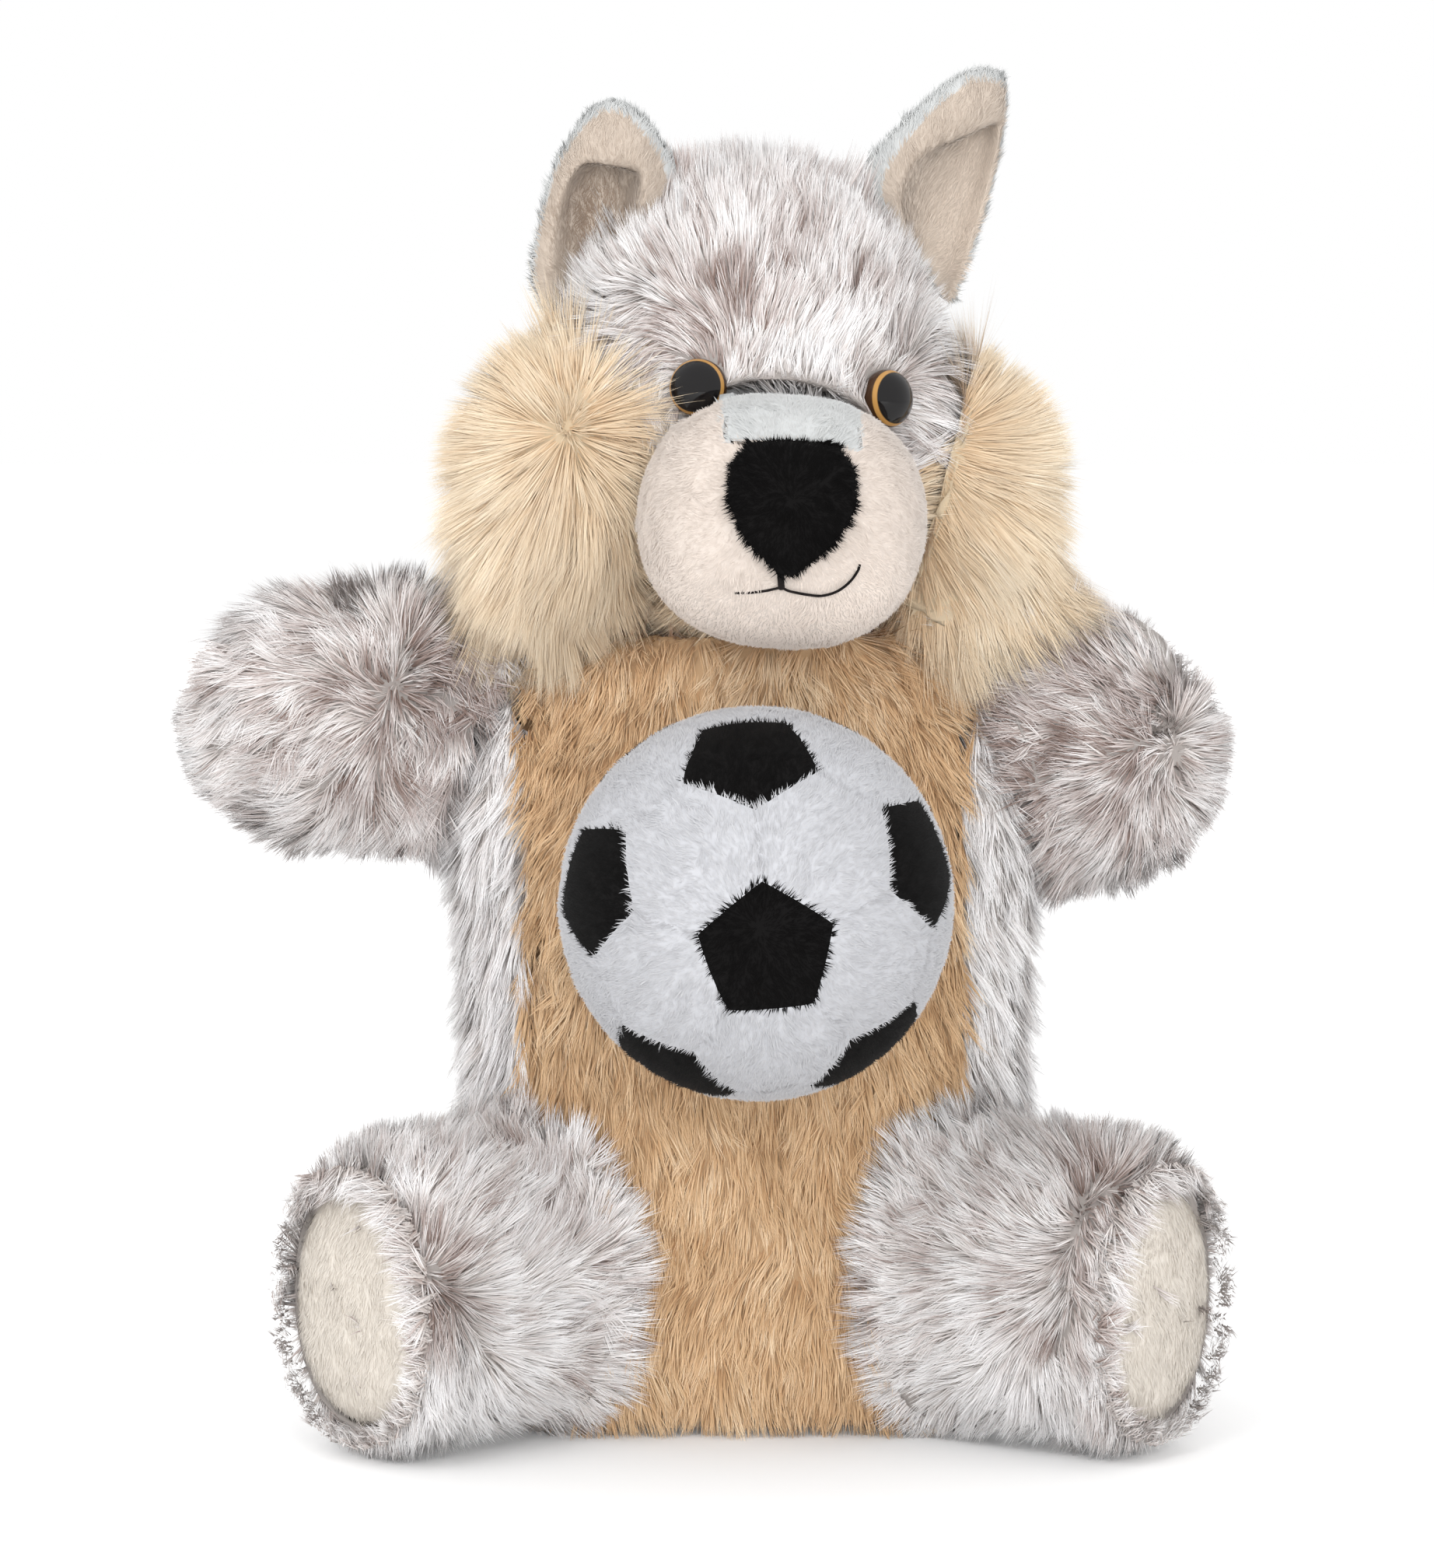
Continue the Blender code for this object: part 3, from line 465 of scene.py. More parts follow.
def growPile(name, roots, normals, fur, combing, toning, material, trim=None, within=()):
    rng = np.random.default_rng(fur["seed"])
    count = len(roots)
    big, bigCount = tufts(roots, fur["tuft"], rng)
    small, smallCount = tufts(roots, fur["wisp"], rng)
    bigRandom = rng.normal(size=(bigCount, 4))[big]
    smallRandom = rng.normal(size=(smallCount, 4))[small]

    # the way each strand lies, turned a little with its tuft
    lie = combing(roots, normals)
    lie = lie - normals * (lie * normals).sum(1, keepdims=True)
    sure = np.linalg.norm(lie, axis=1)  # low in a parting, where the pile stands up
    lie = unit(lie)
    across = np.cross(normals, lie)
    turn = fur["swirl"] * (bigRandom[:, 0] + 0.6 * smallRandom[:, 0] + 0.5 * rng.normal(size=count))
    turn += fur["curl"] * mottle(roots, 75, fur["seed"])
    lie = lie * np.cos(turn)[:, None] + across * np.sin(turn)[:, None]
    long = 1 + fur["uneven"] * 0.5 * (bigRandom[:, 1] + smallRandom[:, 1] + rng.normal(size=count))
    longer = np.ones(count) if trim is None else trim(roots)
    long = fur["length"] * np.clip(long, 0.45, 1.6) * longer
    rise = fur["lift"] + fur["waver"] * (bigRandom[:, 2] + 0.8 * smallRandom[:, 2])
    rise += fur["parting"] * (1 - ramp(sure, 0.15, 0.7)) + 0.5 * np.clip(longer - 1, 0, 1)

    lift = np.clip(rise, 0.05, 1)[:, None]
    way = unit(normals * lift + lie * (1 - lift))
    feet = roots - normals * fur["sunk"]
    tips = feet + way * long[:, None]
    if within:  # shorten what would end outside all these parts by more than its fuzz
        allowed = fur["beyond"] * rng.random(count) * np.clip(longer, 1, 2) ** 2
        over = np.full(count, 1.0)
        for tree in within:
            hits = np.array([[*spot, *out] for spot, out, face, gap in map(tree.find_nearest, tips)])
            beyond = ((tips - hits[:, :3]) * hits[:, 3:]).sum(1)
            beyond[(hits[:, 3:] * normals).sum(1) < -0.3] = -1  # nearest to the inside of a wall
            over = np.minimum(over, beyond)
        cut = 1.3 * np.clip(over - allowed, 0, None)
        tips = feet + way * np.clip(long - cut, 0.3 * long, None)[:, None]
    tips = tips + (tuftMean(tips, small, smallCount) - tips) * fur["wispPull"]
    tips = tips + (tuftMean(tips, big, bigCount) - tips) * fur["tuftPull"]
    tips = tips + rng.normal(size=(count, 3)) * fur["fuzz"]

    side = unit(np.cross(unit(tips - feet), normals + fur["roll"] * rng.normal(size=(count, 3))))
    width = fur["width"] * np.clip(1 + 0.25 * rng.normal(size=count), 0.5, 1.6)
    half = side * (width / 2)[:, None]
    tone = np.clip(toning(roots, normals, bigRandom[:, 3], smallRandom[:, 3], rng), 0.01, 0.99)
    verts = np.stack([feet - half, feet + half, tips], 1)
    uvs = np.stack([np.stack([tone + step, np.full(count, along)], 1)
                    for step, along in ((-0.002, 0.0), (0.002, 0.0), (0.0, 1.0))], 1)
    mesh = bpy.data.meshes.new(name)
    mesh.vertices.add(3 * count)
    mesh.vertices.foreach_set("co", verts.ravel())
    mesh.loops.add(3 * count)
    mesh.loops.foreach_set("vertex_index", np.arange(3 * count, dtype=np.int32))
    mesh.polygons.add(count)
    mesh.polygons.foreach_set("loop_start", 3 * np.arange(count, dtype=np.int32))
    mesh.update(calc_edges=True)
    layer = mesh.uv_layers.new(name="OFBake")
    layer.data.foreach_set("uv", uvs.ravel())

    # strands are shaded mostly as the skin under them, which keeps the pile soft
    shading = unit(normals + fur["glint"] * (rng.normal(size=(count, 3)) + 0.25 * smallRandom[:, :3]))
    mesh.polygons.foreach_set("use_smooth", np.ones(count, bool))
    mesh.normals_split_custom_set_from_vertices(np.repeat(shading, 3, axis=0))
    pile = addObject(name, mesh)
    mesh.materials.append(material)
    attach(pile, "root")
    print(f"{name}: {count} strands, each a triangle")
    addedTriangles.append(count)


outerTree = treeOf(outerNodes)


def others(*own):
    return treeOf([node for node in outerNodes if node not in own])


def furredPart(kind, side, inset, density, seed, look, guides, combing, marks, toning, paint, cloth,
               keepFace=None, keepRoots=None):
    # the skin and pile of a part that is all in one fur
    node = f"{kind}_{side}"
    tree = treeOf([node])
    skin = outerSkin(f"{kind}Skin_{side}", [node], inset, keepFace=keepFace)
    roots, normals = plantRoots(skin, density, seed, others(node), 8 * mm)
    if keepRoots:
        kept = keepRoots(roots)
        roots, normals = roots[kept], normals[kept]
    growPile(f"{kind}Pile_{side}", roots, normals, look, flow(tree, guides[side], combing),
             shadeMarks(tree, marks[side], toning), paint, within=[outerTree, tree])
    finishSkin(skin, [node], [cloth])


longPile = dict(length=9 * mm, uneven=0.28, width=0.3 * mm, lift=0.3, tuft=6 * mm, wisp=1.7 * mm,
                tuftPull=0.16, wispPull=0.4, swirl=0.24, fuzz=0.3 * mm, glint=0.12, beyond=2.5 * mm,
                roll=0.2, waver=0.1, parting=0.3, sunk=0.3 * mm, curl=0.5)
plushPile = dict(length=1.4 * mm, uneven=0.25, width=0.24 * mm, lift=0.2, tuft=5 * mm, wisp=1.2 * mm,
                 tuftPull=0, wispPull=0, swirl=0.3, fuzz=0.1 * mm, glint=0.03, beyond=1 * mm,
                 roll=0.05, waver=0.03, parting=0, sunk=0.05 * mm, curl=0)

# pile colours: across the strands' tones, then along a strand from its root; the grey, tan and cream root
# ramps are darker near the skin, partly the fur's own darker roots and partly painted shade deep in the pile
greyTips = stops((0.0, 140, 120, 112), (0.3, 204, 193, 190), (0.6, 240, 237, 236), (1.0, 253, 253, 254))
greyRootsAndShade = stops((0.0, 186, 178, 173), (0.3, 222, 217, 214), (0.6, 247, 245, 244), (1.0, 255, 255, 255))
tanTips = stops((0.0, 186, 148, 110), (0.4, 222, 188, 148), (0.75, 238, 208, 170), (1.0, 248, 228, 198))
tanRootsAndShade = stops((0.0, 196, 180, 166), (0.35, 224, 213, 202), (0.7, 246, 242, 237), (1.0, 255, 255, 255))
creamTips = stops((0.0, 218, 194, 164), (0.35, 229, 210, 183), (0.7, 237, 222, 198), (1.0, 244, 234, 216))
creamRootsAndShade = stops((0.0, 222, 208, 192), (0.3, 238, 228, 217), (0.6, 249, 245, 240), (1.0, 255, 255, 255))
plushRoots = stops((0.0, 247, 246, 245), (0.5, 251, 250, 249), (1.0, 255, 255, 255))
beigeTips = stops((0.0, 170, 156, 144), (0.5, 208, 197, 188), (1.0, 242, 230, 220))
earTips = stops((0.0, 150, 131, 115), (0.5, 194, 181, 168), (1.0, 228, 214, 200))
soleTips = stops((0.0, 210, 202, 192), (0.5, 222, 215, 205), (1.0, 234, 228, 218))
blueTips = stops((0.0, 176, 180, 181), (0.5, 196, 198, 198), (1.0, 212, 214, 213))
blackTips = stops((0.0, 3, 3, 3), (0.6, 6, 5, 5), (1.0, 14, 12, 12))
whiteTips = stops((0.0, 158, 158, 162), (0.5, 185, 186, 190), (1.0, 206, 207, 210))
greyFur = furMaterial("greyFur", greyTips, greyRootsAndShade)
tanFur = furMaterial("tanFur", tanTips, tanRootsAndShade)
creamFur = furMaterial("creamFur", creamTips, creamRootsAndShade)
beigePlush = furMaterial("beigePlush", beigeTips, plushRoots)
earPlush = furMaterial("earPlush", earTips, plushRoots)
solePlush = furMaterial("solePlush", soleTips, plushRoots)
bluePlush = furMaterial("bluePlush", blueTips, plushRoots)
blackPlush = furMaterial("blackPlush", blackTips, plushRoots, 0.02, 0.1)
whitePlush = furMaterial("whitePlush", whiteTips, plushRoots)

# the grey, tan and cream skins are darker than their pile: painted shade where the skin shows between strands
greyCloth = clothMaterial("greyCloth", srgb(168, 162, 158), srgb(151, 144, 140))
tanCloth = clothMaterial("tanCloth", srgb(191, 160, 125), srgb(175, 144, 110))
creamCloth = clothMaterial("creamCloth", srgb(205, 188, 162), srgb(195, 176, 148))
beigeCloth = clothMaterial("beigeCloth", srgb(209, 198, 189), srgb(205, 194, 185), depth=0.1)
earCloth = clothMaterial("earCloth", srgb(193, 180, 167), srgb(188, 175, 162), depth=0.1)
soleCloth = clothMaterial("soleCloth", srgb(220, 213, 203), srgb(216, 209, 199), depth=0.1)
blueCloth = clothMaterial("blueCloth", srgb(196, 198, 198), srgb(193, 195, 195), depth=0.1)
blackCloth = clothMaterial("blackCloth", srgb(12, 11, 11), srgb(8, 7, 7))
whiteCloth = clothMaterial("whiteCloth", srgb(185, 186, 190), srgb(182, 183, 187), depth=0.1)
liningCloth = clothMaterial("liningCloth", srgb(206, 202, 196), srgb(190, 186, 180), 900, 0.5)
fibre = clothMaterial("fibre", srgb(236, 236, 236), srgb(222, 222, 222), 400, 0.8)


def greyTone(roots, normals, tuft, wisp, rng):
    patches = 0.2 * mottle(roots, 90, 1) + 0.35 * mottle(roots, 210, 2)
    return 0.62 + 0.1 * tuft + 0.12 * wisp + 0.14 * rng.normal(size=len(roots)) + patches


def plainTone(roots, normals, tuft, wisp, rng):
    return 0.5 + 0.08 * rng.normal(size=len(roots)) + 0.06 * mottle(roots, 60, 4)


def evenTone(roots, normals, tuft, wisp, rng):
    return 0.55 + 0.1 * tuft + 0.1 * wisp + 0.12 * rng.normal(size=len(roots)) + 0.2 * mottle(roots, 70, 2)


def combDown(roots, normals):
    lie = np.tile([0.0, 0.0, -1.0], (len(roots), 1))
    lie[:, 0] += 0.35 * mottle(roots, 40, 3)
    return lie


# Eyes: a glossy dome with an amber ring round a wide dark pupil

eyeLook = dict(pupil=srgb(16, 14, 15), ring=srgb(176, 132, 72), rim=srgb(58, 36, 18), ringFrom=0.595,
               ringTo=0.65, rimBand=0.012, pupilBand=0.015)
eyeGloss, tree, shader = nodeMaterial("eyeGloss", 0.08, 0.35)
place = tree.nodes.new("ShaderNodeUVMap")
place.uv_map = "UVMap"
parts = tree.nodes.new("ShaderNodeSeparateXYZ")
bands = colourRamp(tree, [(eyeLook["ringFrom"] - eyeLook["rimBand"], eyeLook["rim"]),
                          (eyeLook["ringFrom"], eyeLook["ring"]), (eyeLook["ringTo"], eyeLook["ring"]),
                          (eyeLook["ringTo"] + eyeLook["pupilBand"], eyeLook["pupil"])])
tree.links.new(place.outputs["UV"], parts.inputs[0])
tree.links.new(parts.outputs["Y"], bands.inputs[0])
tree.links.new(bands.outputs["Color"], shader.inputs["Base Color"])
eyeMiddles = []
for side in sides:
    node = f"eye_{side}"
    points = np.array([vertex.co for vertex in bpy.data.objects[node].data.vertices])
    middle = points.mean(0)
    sizes, ways = np.linalg.eigh(np.cov((points - middle).T))
    axis = ways[:, 2] if sizes[2] - sizes[1] > sizes[1] - sizes[0] else ways[:, 0]
    axis = axis * -np.sign(axis[1])
    along = (points - middle) @ axis
    apart = np.linalg.norm(points - middle - along[:, None] * axis, axis=1)
    radius = apart.max()
    rim = along[apart > 0.98 * radius].max()
    bpy.ops.mesh.primitive_uv_sphere_add(segments=48, ring_count=24, radius=radius)
    eye = bpy.context.active_object
    eye.name = f"eyeDome_{side}"
    eye.scale = (1, 1, (along.max() - rim) / radius)
    eye.rotation_euler = Vector(axis).to_track_quat("Z", "Y").to_euler()
    eye.location = middle + axis * rim
    bpy.ops.object.transform_apply(location=True, rotation=True, scale=True)
    bpy.ops.object.shade_smooth()
    eye.data.materials.append(eyeGloss)
    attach(eye, "root")
    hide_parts(node)
    eyeMiddles.append(middle + axis * rim)
    print(f"{node}: radius {radius / mm:.1f} mm, dome {(along.max() - rim) / mm:.1f} mm")
eyeMiddles = np.array(eyeMiddles)


def clearEyes(roots, lie):  # the pile round an eye leans away from it
    for middle in eyeMiddles:
        gap = roots - middle
        near = (1 - ramp(np.linalg.norm(gap, axis=1), 7 * mm, 13 * mm))[:, None]
        gap = unit(gap)
        towards = np.clip(-(lie * gap).sum(1, keepdims=True), 0, None)
        lie = lie + near * (towards + 0.25) * gap
    return lie


def shortByEyes(roots):
    gaps = np.linalg.norm(roots[:, None] - eyeMiddles[None], axis=2).min(1)
    return 0.45 + 0.55 * ramp(gaps, 5 * mm, 11 * mm)


# Body and belly

bodyNodes = ["body_back", "belly_panel"]
# lighter marks at the top of the belly, under the chin: painted light over the shade there
bellyPaintedLight = [(900, 880, 10, 0.35), (990, 885, 10, 0.35), (1090, 880, 10, 0.35)]
bodyTrees = [outerTree, treeOf(bodyNodes)]
skin = outerSkin("bodySkin", bodyNodes, 5 * mm, keepFace=lambda middle, normal: normal.z > -0.9)
roots, normals = plantRoots(skin, 3.6, 11, others(*bodyNodes), 8 * mm)
onPanel = ownerOf(bodyNodes, roots, normals) == 1
fur = dict(longPile, seed=21, length=8.5 * mm)
# the body's pile is toned 0.4 lighter: painted light over its sides, which lie in shade
growPile("bodyPile", roots[~onPanel], normals[~onPanel], fur, combDown, lambda *all: greyTone(*all) + 0.4,
         greyFur, within=bodyTrees)
fur = dict(longPile, seed=22, length=8 * mm, tuft=5 * mm)
growPile("bellyPile", roots[onPanel], normals[onPanel], fur, combDown,
         shadeMarks(treeOf(["belly_panel"]), bellyPaintedLight, evenTone), tanFur, within=bodyTrees)
finishSkin(skin, bodyNodes, [greyCloth, tanCloth])
print("body done")

# Head

headMiddle = np.array(boxMid("head_cover"))
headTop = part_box("head_cover")[1][2]
muzzleMiddle = np.array(boxMid("muzzle"))
headTree = treeOf(["head_cover"])
headGuides = [(977, 240, 92), (850, 260, 100), (1100, 260, 80), (720, 400, 125), (1225, 380, 60),
              (794, 412, 235), (794, 487, 245), (850, 544, 300), (761, 473, 300), (799, 510, 300),
              (870, 400, 190), (910, 420, 180), (899, 356, 100), (959, 424, 80), (981, 431, 75),
              (1037, 469, 80), (1075, 412, 72), (1150, 375, 75), (1187, 450, 100), (1206, 506, 290),
              (1000, 480, 85), (1230, 470, 290), (950, 330, 90), (1040, 330, 80)]
# the lighter marks above the bridge (990 to 1060, near 505) are painted light over the shaded band there; the
# darker ones darken the partings and brow
headMarksAndPaintedLight = [(940, 400, 14, -0.35), (990, 500, 8, 0.25), (1050, 505, 8, 0.25), (899, 352, 5, -0.35),
             (948, 388, 4, -0.45), (962, 424, 4, -0.4), (1000, 505, 9, 0.2), (1060, 505, 7, 0.2),
             (880, 400, 6, -0.15), (1045, 375, 5, -0.3), (905, 455, 5, -0.3), (1180, 420, 5, -0.25),
             (860, 430, 5, -0.25)]


# the grey of the face ends on this line, in pixels
creamEdge = [(560, 380), (669, 410), (760, 475), (850, 560), (930, 620), (1000, 640), (1160, 620),
             (1205, 565), (1230, 490), (1258, 418), (1330, 380)]


def headLength(roots):  # short by the eyes, longer over the crown
    crown = np.exp(-((roots[:, 0] - 10 * mm) / (19 * mm)) ** 2)
    crown = crown * ramp(roots[:, 2], headTop - 16 * mm, headTop - 4 * mm)
    return shortByEyes(roots) * (1 + 0.45 * crown)


def combHead(roots, normals):
    away = unit(roots - muzzleMiddle - np.array([0, 0, 4 * mm]))
    away[:, 2] += 0.4
    behind = ramp(roots[:, 1], headMiddle[1], headMiddle[1] + 22 * mm)[:, None]
    away = away * (1 - behind) + np.array([0, 0.3, -1.0]) * behind
    away[:, 0] += 0.3 * mottle(roots, 45, 4)
    return away


def headPaint(*all):
    return greyTone(*all) + 0.04


# only faces that look outwards, so that the inner wall seen through the neck stays out
headFlow = flow(headTree, headGuides, combHead)
skin = outerSkin("headSkin", ["head_cover"], 5 * mm, plugs=["eye_left", "eye_right"],
                 keepFace=lambda middle, normal: normal.dot(middle - Vector(headMiddle)) > 0)
roots, normals = plantRoots(skin, 5.5, 12, others("head_cover"), 7 * mm)
eyeClearance = 5.3 * mm
clear = np.linalg.norm(roots[:, None] - eyeMiddles[None], axis=2).min(1) > eyeClearance
roots, normals = roots[clear], normals[clear]
fur = dict(longPile, seed=23, length=8 * mm, lift=0.32)
px, py = pixelsOf(roots)
onCream = (py > np.interp(px, *np.array(creamEdge).T)) & (roots[:, 1] < headMiddle[1] + 12 * mm)
for name, chosen, toning, paint, slotName in (
        ("headPile", ~onCream, shadeMarks(headTree, headMarksAndPaintedLight, headPaint), greyFur, "grey_fur"),
        ("facePile", onCream, evenTone, creamFur, "cream_fur")):
    growPile(name, roots[chosen], normals[chosen], fur, lambda r, n: clearEyes(r, headFlow(r, n)), toning,
             paint, headLength, [outerTree, headTree])
finishSkin(skin, ["head_cover"], [greyCloth])

cheekGuides = dict(
    left=[(687, 473, 120), (631, 473, 145), (613, 529, 170), (594, 566, 180), (613, 621, 195),
          (650, 659, 215), (669, 714, 235), (706, 751, 250), (735, 789, 265), (780, 751, 270),
          (836, 770, 285), (799, 677, 285), (817, 547, 340), (724, 473, 100), (669, 410, 115),
          (722, 590, 205), (722, 640, 222), (722, 690, 236), (724, 740, 248), (758, 590, 320),
          (758, 640, 305), (758, 690, 292), (756, 740, 282), (700, 530, 165), (770, 520, 30)],
    right=[(1230, 500, 60), (1290, 480, 55), (1340, 520, 30), (1360, 600, 5), (1290, 600, 355),
           (1240, 600, 340), (1340, 680, 335), (1280, 700, 320), (1230, 700, 290), (1300, 780, 300),
           (1240, 790, 275), (1200, 620, 290)])
cheekMarks = dict(left=[(739, 560 + 24 * step, 3, -0.3) for step in range(9)],
                  right=[(1235, 520, 6, -0.2), (1245, 640, 8, -0.15)])
cheekLook = dict(longPile, seed=24, length=15 * mm, lift=0.27, tuft=8 * mm, tuftPull=0.2, wispPull=0.3,
                 width=0.22 * mm, swirl=0.18, fuzz=0.5 * mm, glint=0.1)
cheekStarts = dict(left=(0.7, 0.1, 0.66), right=(0.35, 0.1, 0.66))  # where its pile parts, in its box
for side in sides:
    start = inBox(f"cheek_{side}", *cheekStarts[side])

    def combCheek(roots, normals):
        away = unit(roots - start)
        away[:, 2] -= 0.35
        return away

    furredPart("cheek", side, 7 * mm, 7.5, 13, cheekLook, cheekGuides, combCheek, cheekMarks, evenTone,
               creamFur, creamCloth)
print("head done")

# Muzzle, bridge and nose

muzzleNodes = ["muzzle", "muzzle_bridge"]
# the lighter marks over the chin and the lower sides of the muzzle are painted light on its downward-facing
# underside; the small darker dots run on from the mouth's left end
muzzleMarksAndPaintedLight = [(1000, 810, 20, 0.12), (936, 762, 0.8, -0.25), (926, 752, 0.8, -0.25),
               (917, 740, 0.8, -0.25), (911, 727, 0.8, -0.2), (907, 714, 0.8, -0.15), (930, 820, 10, 0.45),
               (1000, 835, 10, 0.5), (1080, 820, 10, 0.45), (860, 775, 8, 0.25), (1140, 775, 8, 0.25)]
noseMiddle = np.array(boxMid("nose"))


def combMuzzle(roots, normals):
    return unit(roots - noseMiddle) + np.array([0, 0, -0.3])


skin = outerSkin("muzzleSkin", muzzleNodes, 1 * mm, 2, 12, beside=1,
                 keepFace=lambda middle, normal: normal.dot(middle - Vector(muzzleMiddle)) > 0)
roots, normals = plantRoots(skin, 8, 14, others(*muzzleNodes), 2 * mm)
onBridge = ownerOf(muzzleNodes, roots, normals) == 1
fur = dict(plushPile, seed=25)
growPile("muzzlePile", roots[~onBridge], normals[~onBridge], fur, combMuzzle,
         shadeMarks(treeOf(["muzzle"]), muzzleMarksAndPaintedLight, plainTone), beigePlush)
growPile("bridgePile", roots[onBridge], normals[onBridge], fur, combMuzzle, plainTone, bluePlush)
finishSkin(skin, muzzleNodes, [beigeCloth, blueCloth])

skin = outerSkin("noseSkin", ["nose"], 0.7 * mm, 2, 4, beside=1, thickness=0)
roots, normals = plantRoots(skin, 7, 15, others("nose"), 0.4 * mm)
fur = dict(plushPile, seed=26, length=1.6 * mm)
growPile("nosePile", roots, normals, fur, combMuzzle, plainTone, blackPlush)
finishSkin(skin, ["nose"], [blackCloth])
mouthLook = dict(radius=0.24 * mm, philtrumRadius=0.6 * mm)
smile = [(942, 767, 1.3), (961, 766, 1.05), (983, 763, 0.9), (997, 759, 0.6), (1005, 757, 0.4),
         (1016, 762, 0.5), (1040, 767, 0.6), (1059, 768, 0.55), (1079, 762, 0.6), (1095, 750, 0.65),
         (1106, 736, 0.8), (1110, 728, 1.1)]
philtrum = [(1003, 732, 0.1), (1004, 745, 0.1), (1005, 757, 0.1)]
threadCord = clothMaterial("threadCord", srgb(34, 29, 28), srgb(18, 15, 15), 2500, 0.8)
tree = treeOf(muzzleNodes)
for name, points, radius, node in (("smileThread", smile, mouthLook["radius"], "mouth_stitch"),
                                   ("philtrumThread", philtrum, mouthLook["philtrumRadius"], "lip_stitch")):
    curve = bpy.data.curves.new(name, "CURVE")
    curve.dimensions = "3D"
    curve.bevel_depth = radius
    curve.bevel_resolution = 3
    curve.use_fill_caps = True
    spline = curve.splines.new("POLY")
    line = smoothLine(points, 5 * len(points))
    spline.points.add(len(line) - 1)
    for point, (px, py, depth) in zip(spline.points, line):  # sunk into the pile by its depth in mm
        place = seen(tree, px, py)
        point.co = (*(place + unit(np.array(muzzleMiddle) - place) * depth * mm), 1)
    thread = addObject(name, curve)
    bpy.ops.object.select_all(action="DESELECT")
    thread.select_set(True)
    bpy.context.view_layer.objects.active = thread
    bpy.ops.object.convert(target="MESH")
    thread = bpy.context.active_object
    thread.data.materials.append(threadCord)
    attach(thread, "root")
    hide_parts(node)
print("muzzle done")

# Arms and legs: the pile radiates from partings

armLook = dict(longPile, length=8.5 * mm, swirl=0.45, tuft=7 * mm, curl=1.3)
legLook = dict(longPile, length=8 * mm, lift=0.32, swirl=0.32, curl=0.8)
armGuides = dict(
    left=[(306, 786, 178), (355, 803, 195), (339, 851, 205), (290, 899, 215), (387, 883, 185),
          (403, 931, 180), (322, 995, 185), (371, 1011, 190), (355, 1044, 210), (403, 1076, 235),
          (451, 1076, 240), (499, 1044, 250), (490, 973, 245), (531, 1028, 260), (580, 979, 255),
          (612, 1011, 250), (435, 761, 95), (531, 770, 60), (467, 796, 150), (564, 803, 325),
          (580, 883, 310), (490, 860, 160), (485, 930, 185), (480, 1000, 205), (540, 850, 20),
          (535, 920, 330), (520, 990, 290), (515, 810, 95)],
    right=[(1274, 879, 155), (1327, 821, 145), (1291, 1004, 185), (1327, 1057, 200), (1416, 825, 122),
           (1488, 1111, 270), (1363, 1093, 222), (1284, 930, 175), (1309, 914, 165), (1345, 843, 145),
           (1452, 879, 125), (1434, 789, 120), (1523, 843, 60), (1559, 914, 20), (1559, 1021, 310),
           (1541, 1111, 285), (1440, 990, 180), (1430, 940, 160), (1440, 1060, 215), (1512, 900, 150),
           (1515, 960, 172), (1517, 1020, 195), (1512, 1080, 220), (1548, 900, 40), (1552, 960, 0),
           (1552, 1020, 330), (1546, 1080, 300), (1490, 820, 120)])
# the widest darker marks (575,850 and 1360,950), on the arms' inner sides towards the body, are painted
# shade; the others darken the arms' tone and partings
armMarksAndPaintedShade = dict(
    left=[(575, 850, 16, -0.32), (480, 940, 13, -0.2), (500, 1040, 10, -0.15), (505, 870, 5, -0.35),
          (560, 870, 5, -0.4), (600, 790, 6, -0.45), (590, 900, 5, -0.35), (500, 985, 5, -0.3),
          (620, 950, 6, -0.35), (350, 1045, 3, -0.3), (455, 1075, 3, -0.3)],
    right=[(1360, 950, 24, -0.32), (1420, 840, 12, -0.1), (1525, 930, 4, -0.2), (1528, 1040, 4, -0.15),
           (1270, 880, 6, -0.35), (1260, 1005, 5, -0.45), (1300, 900, 6, -0.2), (1330, 1065, 3, -0.4),
           (1545, 1010, 4, -0.3), (1420, 850, 4, -0.3)])
leftLeg = [(377, 1547, 95), (489, 1540, 88), (548, 1547, 75), (600, 1603, 62), (674, 1547, 55),
           (711, 1454, 80), (700, 1420, 105), (749, 1566, 45), (674, 1659, 35), (674, 1707, 5),
           (749, 1703, 10), (711, 1751, 350), (656, 1789, 315), (600, 1807, 295), (563, 1844, 275),
           (711, 1807, 335), (433, 1612, 265), (466, 1650, 265), (545, 1696, 250), (552, 1744, 245),
           (556, 1789, 255), (500, 1650, 250), (418, 1575, 100), (477, 1590, 85)]
rightLeg = [(1455, 1437, 80), (1525, 1456, 60), (1390, 1476, 115), (1332, 1553, 140), (1274, 1534, 130),
            (1216, 1495, 110), (1236, 1437, 120), (1197, 1572, 150), (1313, 1622, 175), (1236, 1649, 180),
            (1294, 1688, 190), (1216, 1726, 200), (1274, 1784, 225), (1321, 1784, 265), (1351, 1823, 275),
            (1390, 1804, 290), (1255, 1842, 240), (1480, 1520, 330), (1440, 1560, 320), (1415, 1600, 325),
            (1400, 1650, 315), (1375, 1710, 300), (1360, 1760, 285)]
legGuides = dict(left=leftLeg, right=rightLeg)
soleFringe = dict(strands=4500, outside=(0.2 * mm, 3.8 * mm), behind=(0.3 * mm, 2.5 * mm), length=5.2 * mm)
